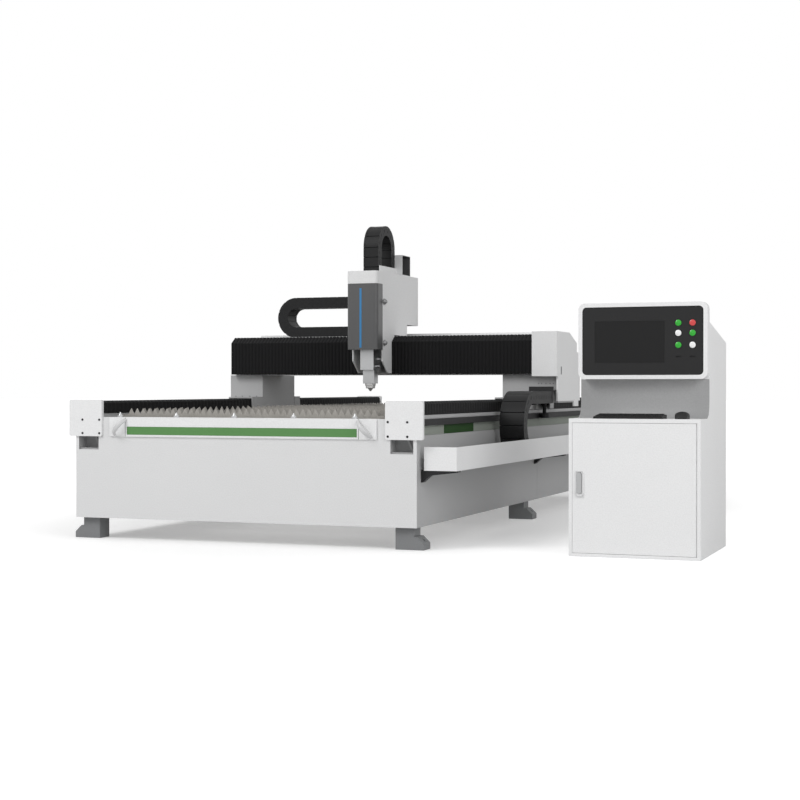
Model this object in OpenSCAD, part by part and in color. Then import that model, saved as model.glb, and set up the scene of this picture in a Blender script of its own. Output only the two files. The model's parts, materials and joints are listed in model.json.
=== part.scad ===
// Flat-bed fibre laser cutting machine with a moving gantry and a separate operator console.
// Millimetres. Origin on the floor at the middle of the bed, X to the right, Y to the back, Z up.

/* [Bed] */
// Width of the bed over its side panels
bed_w = 2000; // [1800:10:2300]
// Length of the bed over its front and rear panels
bed_l = 4200; // [4000:10:4800]
// Height of the underside of the panels above the floor
foot_h = 115; // [90:1:160]
// Height of the top edge of the front panel
panel_top_z = 562; // [540:1:580]
// Thickness of the bed's sheet panels
panel_t = 4; // [3:0.5:6]
// Width of the rail beams
beam_w = 140; // [120:1:160]
// Height of the underside of the rail beams
beam_bottom_z = 490; // [440:1:500]
// Height of the top of the rail beams
beam_top_z = 667; // [660:1:680]
// Wall of the rail beams
beam_wall = 8; // [5:0.5:12]
// Side of the square foot legs
leg_w = 100; // [80:1:120]
// Reach of a foot's gusset beyond its leg
gusset_reach = 54; // [48:1:80]
// Radius of the anchor hole in each foot's flange
anchor_r = 9; // [6:0.5:12]

/* [Rail ends] */
// Width of the square end caps of the rails
cap_w = 205; // [190:1:210]
// Height of the end caps
cap_h = 200; // [180:1:210]
// Thickness of the end caps
cap_t = 22; // [12:1:30]
// Distance between the cap screws across the machine
cap_screw_dx = 106; // [80:1:120]
// Distance between the cap screws up the cap
cap_screw_dz = 74; // [60:1:90]

/* [Guides] */
// Thickness of the machined seat plate on each rail beam
seat_t = 20; // [14:1:24]
// Width of a guide rail
rail_w = 34; // [28:1:40]
// Height of a guide rail
rail_h = 28; // [22:1:32]
// Depth of the drive rack
rack_d = 20; // [16:1:26]
// Height of the drive rack
rack_h = 34; // [28:1:38]
// Pitch radius of the drive pinion
pinion_r = 30; // [24:1:36]

/* [Slat table] */
// Height of the slat tips
slat_top_z = 714; // [708:1:720]
// Height of a slat from its lower edge to its tips
slat_h = 118; // [100:1:120]
// Thickness of a slat
slat_t = 3; // [2:0.5:6]
// Distance from slat to slat
slat_pitch = 145; // [120:1:180]
// Distance from tooth to tooth
tooth_pitch = 37; // [30:0.5:50]
// Depth of a tooth
tooth_h = 32; // [20:1:45]
// Height of the top of the table's front bar
bar_top_z = 668; // [660:1:676]
// Depth of the front bar
bar_d = 60; // [50:1:70]
// Overhang of the front bar beyond the front panel
bar_over = 8; // [4:1:10]
// Distance from the bed's side to the edge of the slat table
table_side = 216; // [214:1:240]
// Height of the coloured stripe on the front bar
stripe_h = 45; // [30:1:60]
// Radius of the grip of the pull handles
grip_r = 9; // [7:0.5:11]

/* [Gantry] */
// Width of each gantry foot
gfoot_w = 237; // [220:1:245]
// Length of the gantry feet along the bed
gfoot_l = 511; // [480:1:560]
// Front of the gantry feet
gfoot_y = -70; // [-90:1:-50]
// Height of the underside of the gantry beam
xbeam_bottom_z = 912; // [900:1:930]
// Height of the gantry beam
xbeam_h = 253; // [240:1:270]
// Depth of the gantry beam
xbeam_d = 300; // [280:1:320]
// Front face of the gantry beam
xbeam_y = -58; // [-64:1:-50]
// Reach of the gantry beam beyond the bed's side
xbeam_over = 43; // [40:1:60]
// Width of the drive housing at the right end of the gantry
drive_w = 162; // [140:1:180]

/* [Carriage and cutting head] */
// Middle of the carriage across the machine
car_x = 6; // [-30:1:30]
// Width of the carriage
car_w = 208; // [190:1:230]
// Height of the top of the carriage housing
car_top_z = 1567; // [1540:1:1600]
// Thickness of the carriage side plates
car_t = 8; // [5:1:12]
// Front of the carriage's dark cover
cover_y = -385; // [-400:1:-370]
// Height of the lower edge of the dark cover
cover_bottom_z = 1070; // [1050:1:1090]
// Height of the upper edge of the dark cover
cover_top_z = 1487; // [1450:1:1500]
// Corner radius of the dark cover
cover_r = 24; // [12:1:30]
// Height of the nozzle's tip
tip_z = 806; // [800:1:815]

/* [Energy chains] */
// Width of the bed chain
ychain_w = 150; // [120:1:156]
// Height of a bed chain link
ychain_h = 75; // [60:1:80]
// Outer bend radius of the bed chain
ychain_r = 199; // [190:1:205]
// Width of the gantry chain
xchain_w = 150; // [120:1:156]
// Height of a gantry chain link
xchain_h = 72; // [60:1:72]
// Outer bend radius of the gantry chain
xchain_r = 136; // [120:1:150]
// Width of the head chain
zchain_w = 104; // [90:1:110]
// Thickness of a head chain link
zchain_h = 62; // [50:1:66]
// Outer bend radius of the head chain
zchain_r = 148; // [140:1:156]
// Length of a chain link
link_l = 60; // [45:1:80]
// Gap between neighbouring link shells
link_gap = 2.4; // [1:0.1:4]
// Depth of the joint between link shells
link_step = 2; // [1:0.1:4]
// Sheet thickness of the chain trays
tray_t = 3; // [2:0.5:4]

/* [Bellows] */
// Length of one bellows pleat along the bed
pleat_y = 44; // [36:1:60]
// Length of one bellows pleat on the gantry
pleat_x = 24; // [20:1:36]
// Depth of the pleats
pleat_d = 7; // [4:0.5:9]
// Thickness of the bellows skin
skin_t = 5; // [3:0.5:6]

/* [Console] */
// Left side of the console
con_x = 1782; // [1700:1:1900]
// Width of the console
con_w = 646; // [600:1:700]
// Front of the console
con_y = -2064; // [-2200:1:-1900]
// Depth of the console at its foot
con_d = 765; // [700:1:820]
// Height of the console's desk
desk_z = 677; // [640:1:700]
// Height of the top of the screen housing
con_top_z = 1250; // [1220:1:1280]
// Sheet thickness of the console
con_t = 3; // [2:0.5:4]
// Radius of the push buttons
button_r = 15; // [11:0.5:16]

/* [Hidden] */
eps = 0.01;
fit = 0.3;
slip = 0.05;
fine = 48;

// Colours
white = "#e2e3e4";
shade = "#c4c6c7";
black = "#1c1c1e";
graphite = "#38393b";
steel = "#a8a6a2";
grey = "#808284";

// Bed levels and lines
half_w = bed_w / 2;
half_l = bed_l / 2;
beam_gap = 10;
beam_x = half_w - beam_gap - beam_w / 2;
seat_top_z = beam_top_z + seat_t;
rail_top_z = seat_top_z + rail_h;
side_top_z = panel_top_z + 20;
notch_in = half_w - 143;
notch_out = half_w - 18;
notch_z = beam_bottom_z;
cap_in = half_w - 168;
cap_front_y = -half_l - 10;
cap_back_y = cap_front_y + cap_t;
beam_l = -2 * (cap_back_y + fit);
cap_hole_in = 15;
cap_hole_up = 17;
cap_screw_r = 5;
leg_out = half_w - 28;
leg_in = leg_out - leg_w;
leg_y = half_l - leg_w / 2 - 35;
gusset_top = 68;
gusset_lip = 33;
gusset_flat = 17;
anchor_x = leg_out + 35;
post_in = half_w - table_side + 1;
seam_y = 154;

// Bellows over the bed rails
bel_in = half_w - 158;
bel_out = half_w + 3;
bel_top_z = 756;
bel_low_z = seat_top_z + 3;
bel_bevel = 10;

// Bed chain
tray_x = half_w + 25;
tray_w = 175;
tray_floor_z = 406;
tray_wall_h = 121;
tray_inner_h = 80;
tray_half_l = half_l - 42;
ychain_x = tray_x + tray_w / 2 - ychain_w / 2 - 2.5;
ychain_low_z = tray_floor_z + tray_t + fit;
ychain_mid_z = ychain_low_z + ychain_r;
ychain_loop_y = -588;
ychain_fixed_y = 150;
ychain_end_y = gfoot_y - 72;
ychain_top_z = ychain_low_z + 2 * ychain_r;

// Slat table
table_half_w = half_w - table_side;
bar_y = -half_l - bar_over;
carrier_w = 40;
carrier_h = 86;
slat_low_z = slat_top_z - slat_h;
slat_half = table_half_w - 40;
slat_first_y = -half_l + bar_d + 60;
slat_count = floor((bed_l - 2 * bar_d - 120) / slat_pitch) + 1;
carrier_back_y = half_l - 60;
stud_r = 11;
stud_h = 27;
stud_step = 347;

// Gantry
gfoot_in = half_w - 162;
gfoot_back_y = gfoot_y + gfoot_l;
gfoot_low_z = 735;
hood_t = 5;
hood_front = 162;
hood_rear = 91;
hood_top_z = 768;
xbeam_half = half_w + xbeam_over;
xbeam_top_z = xbeam_bottom_z + xbeam_h;
xbeam_back_y = xbeam_y + xbeam_d;
xbeam_wall = 10;
drive_x = xbeam_half + 2;
drive_out_x = drive_x + drive_w;
cross_rail_h = 18;
cross_rail_w = 24;
cross_rail_z = [960, 1110];
bfront_y = -130;
bback_y = xbeam_y - 4;
pinion_x = half_w - beam_gap + rack_d + pinion_r + fit;
pinion_y = gfoot_y + gfoot_l / 2;
shaft_r = 12;

// Carriage
car_l = car_x - car_w / 2;
car_r = car_x + car_w / 2;
plate_y = -112;
house_front_y = -290;
house_back_y = 366;
step_y = 154;
step_z = xbeam_top_z + 79;
skid_z = xbeam_top_z + 5;
slant_z = 998;
slant_y = -196;
plate_low_z = 923;

// Gantry chain
xchain_y = 175;
xchain_low_z = xbeam_top_z + tray_t + fit;
xchain_mid_z = xchain_low_z + xchain_r;
xchain_loop_x = -703;
xchain_fixed_x = 0;
xchain_top_z = xchain_low_z + 2 * xchain_r;

// Head chain
zchain_y = -83;
zchain_mid_z = 1727;
zchain_front_y = zchain_y - zchain_r;
zchain_low_z = 1290;
cable_box_d = 150;
cable_box_h = 132;
head_low_z = 855;
cross_inset = 400;

// Console
con_r = con_x + con_w;
con_back_y = con_y + con_d;
neck_y = con_y + 250;
neck_top_z = 1151;
con_back_z = 1062;
bezel_low_z = 871;
bezel_d = 60;
bezel_y = neck_y - bezel_d;
bezel_r = 34;
panel_in = 20;
door_t = 20;
door_gap = 1.5;
frame_w = 17;
frame_top_z = desk_z - frame_w - 3;
hinge_x = con_r - frame_w - door_gap - door_t / 2;
hinge_y = con_y + door_t / 2;
hinge_pin_r = 5;
hinge_pin_h = 12;

// A profile in Y and Z carried along X
module along_x(x0, x1) {
    translate([x0, 0, 0])
        rotate([90, 0, 90])
            linear_extrude(x1 - x0)
                children();
}

// A profile in X and Z carried along Y
module along_y(y0, y1) {
    translate([0, y1, 0])
        rotate([90, 0, 0])
            linear_extrude(y1 - y0)
                children();
}

// A block between two corners
module block(low, high) {
    translate(low)
        cube(high - low);
}

// The child and its mirror image on the left side
module both_sides() {
    children();
    mirror([1, 0, 0])
        children();
}

// A rectangle with round corners, from its low corner
module round_rect(w, h, r) {
    translate([r, 0]) square([w - 2 * r, h]);
    translate([0, r]) square([w, h - 2 * r]);
    for (x = [r, w - r], y = [r, h - r])
        translate([x, y])
            circle(r, $fn = fine);
}

// A straight chain run of link shells on a slimmer core, length l along X, from the origin
module chain_run(l, w, h) {
    count = max(1, round(l / link_l));
    pitch = l / count;
    translate([0, link_step, link_step])
        cube([l, w - 2 * link_step, h - 2 * link_step]);
    for (i = [0 : count - 1])
        translate([i * pitch + link_gap / 2, 0, 0])
            cube([pitch - link_gap, w, h]);
}

// A half turn of chain about the Z axis, opening towards +Y, outer radius r
module chain_turn(r, w, h) {
    count = max(3, round(PI * (r - h / 2) / link_l));
    pitch = 180 / count;
    gap = link_gap / (r - h / 2) * 180 / PI;
    rotate([0, 0, 180])
        rotate_extrude(angle = 180, $fn = 2 * fine)
            translate([r - h + link_step, link_step])
                square([h - 2 * link_step, w - 2 * link_step]);
    for (i = [0 : count - 1])
        rotate([0, 0, 180 + i * pitch + gap / 2])
            rotate_extrude(angle = pitch - gap, $fn = 2 * fine)
                translate([r - h, 0])
                    square([h, w]);
}

// Points of one pleat ring: an outline and the same outline moved in by the skin
function ring(outer, inner, at, along) = [
    for (p = concat(outer, [for (i = [len(inner) - 1 : -1 : 0]) inner[i]]))
        along == "x" ? [at, p[0], p[1]] : [p[0], at, p[1]]
];

// A pleated skin through the given rings, closed at both ends
module pleated(rings) {
    m = len(rings[0]);
    n = len(rings);
    flat = [for (r = rings, p = r) p];
    sides = [
        for (i = [0 : n - 2], j = [0 : m - 1])
            [i * m + j, i * m + (j + 1) % m, (i + 1) * m + (j + 1) % m, (i + 1) * m + j]
    ];
    first = [for (j = [m - 1 : -1 : 0]) j];
    last = [for (j = [0 : m - 1]) (n - 1) * m + j];
    polyhedron(flat, concat(sides, [first, last]), convexity = 10);
}

// Outline of the bed bellows, moved in by s from its crest
function bed_line(s) = [
    [bel_in + s, bel_low_z], [bel_in + s, bel_top_z - bel_bevel - s * 0.5],
    [bel_in + bel_bevel + s * 0.5, bel_top_z - s], [bel_out - bel_bevel - s * 0.5, bel_top_z - s],
    [bel_out - s, bel_top_z - bel_bevel - s * 0.5], [bel_out - s, bel_low_z]
];

// Outline of the gantry bellows, moved in by s from its crest
function beam_line(s) = [
    [bback_y, xbeam_bottom_z + 4 + s], [bfront_y + s, xbeam_bottom_z + 4 + s],
    [bfront_y + s, xbeam_top_z - 40 - s * 0.5], [bfront_y + 55 + s * 0.5, xbeam_top_z - 1 - s],
    [bback_y, xbeam_top_z - 1 - s]
];

// Bellows over one right-hand bed rail between two stations
module bed_bellows(y0, y1) {
    count = 2 * round((y1 - y0) / pleat_y);
    pleated([
        for (i = [0 : count])
            let(s = i % 2 * pleat_d)
                ring(bed_line(s), bed_line(s + skin_t), y1 - (y1 - y0) * i / count, "y")
    ]);
}

// Bellows on the front of the gantry beam between two stations
module beam_bellows(x0, x1) {
    count = 2 * round((x1 - x0) / pleat_x);
    pleated([
        for (i = [0 : count])
            let(s = i % 2 * pleat_d)
                ring(beam_line(s), beam_line(s + skin_t), x0 + (x1 - x0) * i / count, "x")
    ]);
}

// Outline of an end panel with the two corner notches that show the beam ends
module end_panel_outline() {
    difference() {
        translate([-half_w, foot_h]) square([bed_w, panel_top_z - foot_h]);
        for (x = [-notch_out, notch_in])
            translate([x, notch_z]) square([notch_out - notch_in, panel_top_z - notch_z + eps]);
    }
}

// End panel with a folded top lip between the notches
module end_panel(y0, y1, lip_y0, lip_y1) {
    along_y(y0, y1) end_panel_outline();
    lip_half = beam_x - beam_w / 2 - 2;
    block([-lip_half, lip_y0, panel_top_z - panel_t], [lip_half, lip_y1, panel_top_z]);
}

module front_panel() {
    lip = 40;
    color(white) {
        end_panel(-half_l, -half_l + panel_t, -half_l, -half_l + lip);
        both_sides()
            block([post_in, -half_l, panel_top_z - eps], [cap_in, -half_l + panel_t, bar_top_z]);
    }
}

module rear_panel() {
    lip = 40;
    color(white) end_panel(half_l - panel_t, half_l, half_l - lip, half_l);
}

// Right side panel with its seam groove
module side_panel() {
    groove = 3;
    difference() {
        block([half_w - panel_t, -half_l + panel_t, foot_h], [half_w, half_l - panel_t, side_top_z]);
        block([half_w - panel_t / 2, seam_y, foot_h - 1], [half_w + 1, seam_y + groove, tray_floor_z]);
        for (y = [-half_l, -cap_back_y - fit])
            block([half_w - panel_t - 1, y, panel_top_z],
                  [half_w + 1, y + half_l + cap_back_y + fit, side_top_z + 1]);
    }
}

module side_panel_left() {
    color(shade) mirror([1, 0, 0]) side_panel();
}

module side_panel_right() {
    color(shade) side_panel();
}

// Right rail beam: a square tube, its machined seat plate and a flat brace at each end
module rail_beam(lean) {
    out = beam_w / 2;
    brace_w = 12;
    brace_t = 4;
    brace_dx = 30;
    brace_y = half_l - 70;
    difference() {
        block([beam_x - out, -beam_l / 2, beam_bottom_z], [beam_x + out, beam_l / 2, beam_top_z]);
        block([beam_x - out + beam_wall, -half_l, beam_bottom_z + beam_wall],
              [beam_x + out - beam_wall, half_l, beam_top_z - beam_wall]);
    }
    block([beam_x - out, -beam_l / 2, beam_top_z - eps], [half_w, beam_l / 2, seat_top_z]);
    inner_h = beam_top_z - beam_bottom_z - beam_wall;
    for (s = [-1, 1])
        along_y(s * brace_y - brace_t / 2, s * brace_y + brace_t / 2)
            polygon([
                [beam_x - lean * brace_dx, beam_top_z - beam_wall + 1],
                [beam_x - lean * brace_dx - brace_w, beam_top_z - beam_wall + 1],
                [beam_x + lean * brace_dx, beam_top_z - 1 - inner_h],
                [beam_x + lean * brace_dx + brace_w, beam_top_z - 1 - inner_h]
            ]);
}

module rail_beam_left() {
    color(shade) mirror([1, 0, 0]) rail_beam(-1);
}

module rail_beam_right() {
    color(shade) rail_beam(1);
}

module cross_tubes() {
    tube_h = panel_top_z - beam_bottom_z;
    tube_w = 100;
    wall = 5;
    reach = beam_x - beam_w / 2;
    step = (bed_l - 2 * cross_inset) / 4;
    color(grey)
        for (i = [-2 : 2])
            along_x(-reach, reach)
                translate([i * step - tube_w / 2, beam_bottom_z])
                    difference() {
                        square([tube_w, tube_h]);
                        translate([wall, wall]) square([tube_w - 2 * wall, tube_h - 2 * wall]);
                    }
}

// One right-hand foot: a post up to the rail beam and a sloped flange with its anchor hole
module foot(y) {
    block([leg_in, y - leg_w / 2, 0], [leg_out, y + leg_w / 2, beam_bottom_z]);
    difference() {
        along_y(y - leg_w / 2, y + leg_w / 2)
            polygon([
                [leg_out - 1, 0], [leg_out + gusset_reach, 0], [leg_out + gusset_reach, gusset_lip],
                [leg_out + gusset_flat, gusset_top], [leg_out - 1, gusset_top]
            ]);
        translate([anchor_x, y, -1]) cylinder(h = gusset_top + 2, r = anchor_r, $fn = fine);
    }
}

module feet() {
    color(grey)
        both_sides()
            for (y = [-leg_y, 0, leg_y])
                foot(y);
}

module guide_rails() {
    color(steel)
        both_sides()
            block([beam_x - rail_w / 2, -beam_l / 2 + 12, seat_top_z],
                  [beam_x + rail_w / 2, beam_l / 2 - 12, rail_top_z]);
}

module drive_rack() {
    x = half_w - beam_gap;
    color(black)
        block([x, -beam_l / 2, beam_top_z - rack_h], [x + rack_d, beam_l / 2, beam_top_z - fit]);
}

// One right-hand end cap with its four screw holes, at the front end
module end_cap() {
    bevel_r = 10;
    difference() {
        translate([cap_in, 0, 0])
            along_y(cap_front_y, cap_back_y)
                translate([0, panel_top_z + fit])
                    round_rect(cap_w, cap_h, bevel_r);
        for (x = [0, cap_screw_dx], z = [0, cap_screw_dz])
            translate([cap_in + cap_hole_in + x, cap_front_y - 1, panel_top_z + cap_hole_up + z])
                rotate([-90, 0, 0])
                    cylinder(h = cap_t + 2, r = cap_screw_r + slip, $fn = fine);
    }
}

// All four ends of the rails
module rail_ends() {
    both_sides() {
        children();
        mirror([0, 1, 0]) children();
    }
}

module rail_end_caps() {
    color(white) rail_ends() end_cap();
}

module cap_screws() {
    sunk = 2;
    color(black)
        rail_ends()
            for (x = [0, cap_screw_dx], z = [0, cap_screw_dz])
                translate([cap_in + cap_hole_in + x, cap_front_y + sunk, panel_top_z + cap_hole_up + z])
                    rotate([-90, 0, 0])
                        difference() {
                            cylinder(h = cap_t - sunk, r = cap_screw_r, $fn = fine);
                            translate([0, 0, -eps]) cylinder(h = 4, r = 2.4, $fn = 6);
                        }
}

module chain_tray() {
    color(white) {
        difference() {
            block([tray_x, -tray_half_l, tray_floor_z],
                  [tray_x + tray_w, tray_half_l, tray_floor_z + tray_wall_h]);
            block([tray_x + tray_t, -tray_half_l + tray_t, tray_floor_z + tray_t],
                  [tray_x + tray_w - tray_t, tray_half_l - tray_t, tray_floor_z + tray_wall_h + 1]);
            block([tray_x - 1, -tray_half_l + tray_t, tray_floor_z + tray_inner_h],
                  [tray_x + tray_t + 1, tray_half_l - tray_t, tray_floor_z + tray_wall_h + 1]);
        }
    }
}

module tray_brackets() {
    arm_w = 44;
    drop = 62;
    color(black)
        for (y = [-half_l + 85, 100, half_l - 85])
            along_y(y - arm_w / 2, y + arm_w / 2)
                polygon([
                    [half_w, tray_floor_z - drop], [half_w, tray_floor_z], [tray_x + tray_w, tray_floor_z],
                    [tray_x + tray_w, tray_floor_z - 8], [half_w + 50, tray_floor_z - 26],
                    [half_w + 8, tray_floor_z - drop]
                ]);
}

module bed_chain_lower() {
    color(graphite)
        translate([ychain_x + ychain_w, ychain_loop_y, ychain_low_z])
            rotate([0, 0, 90])
                chain_run(ychain_fixed_y - ychain_loop_y, ychain_w, ychain_h);
}

module bed_chain_loop() {
    color(graphite)
        translate([ychain_x, ychain_loop_y, ychain_mid_z])
            rotate([90, 0, 90])
                rotate([0, 0, -90])
                    chain_turn(ychain_r, ychain_w, ychain_h);
}

module bed_chain_upper() {
    color(graphite)
        translate([ychain_x + ychain_w, ychain_loop_y, ychain_top_z - ychain_h])
            rotate([0, 0, 90])
                chain_run(ychain_end_y - ychain_loop_y, ychain_w, ychain_h);
}

module bellows_front() {
    color(black)
        both_sides()
            bed_bellows(cap_back_y + fit, gfoot_y - fit);
}

module bellows_rear() {
    color(black)
        both_sides()
            bed_bellows(gfoot_back_y + fit, -cap_back_y - fit);
}

// One right-hand slat carrier: an angle that the slats stand in
module slat_carrier() {
    wall = 6;
    low_z = panel_top_z + fit;
    difference() {
        block([table_half_w - carrier_w, -half_l + bar_d, low_z],
              [table_half_w, carrier_back_y, low_z + carrier_h]);
        block([table_half_w - carrier_w - 1, -half_l + bar_d - 1, slat_low_z],
              [table_half_w - wall, carrier_back_y + 1, low_z + carrier_h + 1]);
        block([table_half_w - carrier_w + wall, -half_l + bar_d - 1, low_z + wall],
              [table_half_w - wall, carrier_back_y + 1, slat_low_z - wall]);
    }
}

module slat_carriers() {
    color(grey) both_sides() slat_carrier();
}

// One slat with a row of teeth along its upper edge
module slat() {
    reach = table_half_w - 6 - fit;
    teeth = floor(2 * slat_half / tooth_pitch);
    start = -teeth * tooth_pitch / 2;
    root_z = slat_top_z - tooth_h;
    tip = 3;
    points = [
        for (i = [0 : teeth - 1], k = [0 : 2])
            [start + i * tooth_pitch + [0, tooth_pitch / 2 - tip / 2, tooth_pitch / 2 + tip / 2][k],
             k == 0 ? root_z : slat_top_z]
    ];
    ends = [[-start, root_z], [reach, root_z], [reach, slat_low_z]];
    polygon(concat([[-reach, slat_low_z], [-reach, root_z]], points, ends));
}

module support_slats() {
    color(steel)
        for (i = [0 : slat_count - 1])
            along_y(slat_first_y + i * slat_pitch, slat_first_y + i * slat_pitch + slat_t)
                slat();
}

module table_front_bar() {
    low_z = panel_top_z + fit;
    sink = 2;
    end_w = 108;
    seam = 2;
    seam_x = table_half_w - end_w + 8;
    color(white)
        difference() {
            block([-table_half_w, bar_y, low_z], [table_half_w, -half_l + bar_d, bar_top_z]);
            block([-table_half_w + end_w, bar_y - 1, low_z + 10],
                  [table_half_w - end_w, bar_y + sink, low_z + 10 + stripe_h]);
            both_sides()
                block([seam_x, bar_y - 1, low_z - 1], [seam_x + seam, bar_y + sink, bar_top_z + 1]);
        }
}

// A handle in its own plane: a round bar with two bent legs
module bow_handle() {
    span = 96;
    rise = 34;
    bend = 16;
    for (s = [0, 1])
        mirror([s, 0, 0]) {
            translate([span / 2, 0, 0]) cylinder(h = rise - bend, r = grip_r, $fn = fine);
            translate([span / 2 - bend, 0, rise - bend])
                rotate([90, 0, 0])
                    rotate_extrude(angle = 90, $fn = 2 * fine)
                        translate([bend, 0])
                            circle(grip_r, $fn = fine);
        }
    translate([bend - span / 2, 0, rise])
        rotate([0, 90, 0])
            cylinder(h = span - 2 * bend, r = grip_r, $fn = fine);
}

module pull_handles() {
    x = table_half_w - 66;
    z = (panel_top_z + bar_top_z) / 2;
    lean = 48;
    color(white)
        both_sides()
            translate([x, bar_y, z])
                rotate([90, 0, 0])
                    rotate([0, 0, -lean])
                        bow_handle();
}

module bar_studs() {
    color(white)
        for (i = [-2 : 2])
            translate([i * stud_step - 44, -half_l + bar_d / 2, bar_top_z])
                rotate_extrude($fn = fine)
                    polygon([
                        [0, 0], [stud_r + 5, 0], [stud_r + 5, 6], [stud_r, 10],
                        [4, stud_h - 4], [2, stud_h], [0, stud_h]
                    ]);
}

module gantry_beam() {
    lip_h = 26;
    tray_back_y = xchain_y + xchain_w + 8;
    color(white) {
        difference() {
            block([-xbeam_half, xbeam_y, xbeam_bottom_z], [xbeam_half, xbeam_back_y, xbeam_top_z]);
            block([-xbeam_half + xbeam_wall, xbeam_y + xbeam_wall, xbeam_bottom_z + xbeam_wall],
                  [xbeam_half + 1, xbeam_back_y - xbeam_wall, xbeam_top_z - xbeam_wall]);
        }
        block([-xbeam_half, xchain_y - 10, xbeam_top_z - eps],
              [xbeam_half, tray_back_y, xbeam_top_z + tray_t]);
        block([-xbeam_half, tray_back_y - tray_t, xbeam_top_z],
              [xbeam_half, tray_back_y, xbeam_top_z + lip_h]);
    }
}

// Hood over the end of one bed bellows
module hood(y0, y1) {
    along_y(y0, y1)
        difference() {
            translate([bel_in - hood_t - 1, bel_low_z])
                square([bel_out - bel_in + 2 * hood_t + 2, hood_top_z - bel_low_z]);
            translate([bel_in - 1, bel_low_z - 1]) square([bel_out - bel_in + 2, bel_top_z - bel_low_z + 4]);
        }
}

// Gantry foot on the right, reaching out to the given line
module gantry_foot(out_x) {
    skirt_t = 8;
    block([gfoot_in, gfoot_y, gfoot_low_z], [out_x, gfoot_back_y, xbeam_bottom_z]);
    block([gfoot_in, gfoot_y, bel_low_z + 12], [gfoot_in + skirt_t, gfoot_back_y, gfoot_low_z + 1]);
    hood(gfoot_y - hood_front, gfoot_y + 1);
    hood(gfoot_back_y - 1, gfoot_back_y + hood_rear);
}

module gantry_foot_left() {
    color(shade) mirror([1, 0, 0]) gantry_foot(gfoot_in + gfoot_w);
}

module gantry_foot_right() {
    bore_h = 80;
    color(shade)
        difference() {
            gantry_foot(drive_out_x - 10);
            translate([pinion_x, pinion_y, gfoot_low_z - 1])
                cylinder(h = bore_h, r = shaft_r + slip, $fn = fine);
        }
}

module bearing_blocks() {
    block_w = 70;
    block_l = 100;
    inset = 30;
    low_z = seat_top_z + 5;
    color(grey)
        both_sides()
            for (y = [gfoot_y + inset, gfoot_back_y - inset - block_l])
                difference() {
                    block([beam_x - block_w / 2, y, low_z], [beam_x + block_w / 2, y + block_l, gfoot_low_z]);
                    block([beam_x - rail_w / 2 - fit, y - 1, low_z - 1],
                          [beam_x + rail_w / 2 + fit, y + block_l + 1, rail_top_z + fit]);
                }
}

// Drive housing: a box on the beam's right end with a side cover that reaches down over the rack
module drive_housing() {
    front_y = bfront_y;
    back_y = 450;
    top_z = xbeam_top_z + 15;
    cover_low_z = 745;
    skin = 10;
    tab_w = 110;
    tab_drop = 36;
    upper = [
        [front_y, xbeam_bottom_z - 12], [front_y, top_z], [180, top_z], [370, top_z - 62], [370, top_z - 120],
        [back_y, top_z - 128], [back_y, xbeam_bottom_z - 12]
    ];
    color(white) {
        difference() {
            along_x(drive_x, drive_out_x) polygon(upper);
            block([drive_x - 1, gfoot_y - 1, xbeam_bottom_z - 13],
                  [drive_out_x - skin, gfoot_back_y + 1, xbeam_bottom_z]);
        }
        block([drive_out_x - skin, front_y + 24, cover_low_z], [drive_out_x, back_y, xbeam_bottom_z - 11]);
        block([drive_out_x - skin, 300, cover_low_z - tab_drop], [drive_out_x, 300 + tab_w, cover_low_z + 1]);
    }
}

module drive_pinion() {
    low_z = beam_top_z - rack_h + 2;
    gear_h = rack_h - 4;
    color(steel)
        translate([pinion_x, pinion_y, low_z]) {
            cylinder(h = gear_h, r = pinion_r, $fn = 2 * fine);
            cylinder(h = gfoot_low_z + 70 - low_z, r = shaft_r, $fn = fine);
        }
}

module cross_rails() {
    reach = xbeam_half - 60;
    color(steel)
        for (z = cross_rail_z)
            block([-reach, xbeam_y - cross_rail_h, z - cross_rail_w / 2],
                  [reach, xbeam_y, z + cross_rail_w / 2]);
}

module chain_arm() {
    plate_t = 8;
    lip_h = 28;
    low_z = ychain_top_z + fit;
    color(black)
        along_x(ychain_x - 4, ychain_x + ychain_w + 4)
            polygon([
                [ychain_end_y - 4, low_z], [ychain_end_y - 4, low_z + lip_h],
                [ychain_end_y + 4, low_z + lip_h],
                [ychain_end_y + 4, low_z + plate_t], [gfoot_y, low_z + plate_t], [gfoot_y, low_z]
            ]);
}

module bellows_left() {
    color(black) beam_bellows(-xbeam_half + 2, car_l - fit);
}

module bellows_right() {
    color(black) beam_bellows(car_r + fit, xbeam_half - 2);
}

module gantry_chain_lower() {
    color(graphite)
        translate([xchain_loop_x, xchain_y, xchain_low_z])
            chain_run(xchain_fixed_x - xchain_loop_x, xchain_w, xchain_h);
}

module gantry_chain_loop() {
    color(graphite)
        translate([xchain_loop_x, xchain_y + xchain_w, xchain_mid_z])
            rotate([90, 0, 0])
                rotate([0, 0, -90])
                    chain_turn(xchain_r, xchain_w, xchain_h);
}

module gantry_chain_upper() {
    color(graphite)
        translate([xchain_loop_x, xchain_y, xchain_top_z - xchain_h])
            chain_run(car_l - fit - xchain_loop_x, xchain_w, xchain_h);
}

// Slide plate of the carriage with its four runner blocks on the cross rails
module carriage_frame() {
    plate_t = 14;
    runner_l = 70;
    runner_h = 46;
    color(grey) {
        block([car_l + car_t, plate_y, plate_low_z + 6], [car_r - car_t, plate_y + plate_t, car_top_z - 10]);
        for (x = [car_l + car_t + 12, car_r - car_t - 12 - runner_l], z = cross_rail_z)
            difference() {
                block([x, plate_y + plate_t - eps, z - runner_h / 2],
                      [x + runner_l, xbeam_y - 4, z + runner_h / 2]);
                block([x - 1, xbeam_y - cross_rail_h - fit, z - cross_rail_w / 2 - fit],
                      [x + runner_l + 1, xbeam_y, z + cross_rail_w / 2 + fit]);
            }
    }
}

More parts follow.
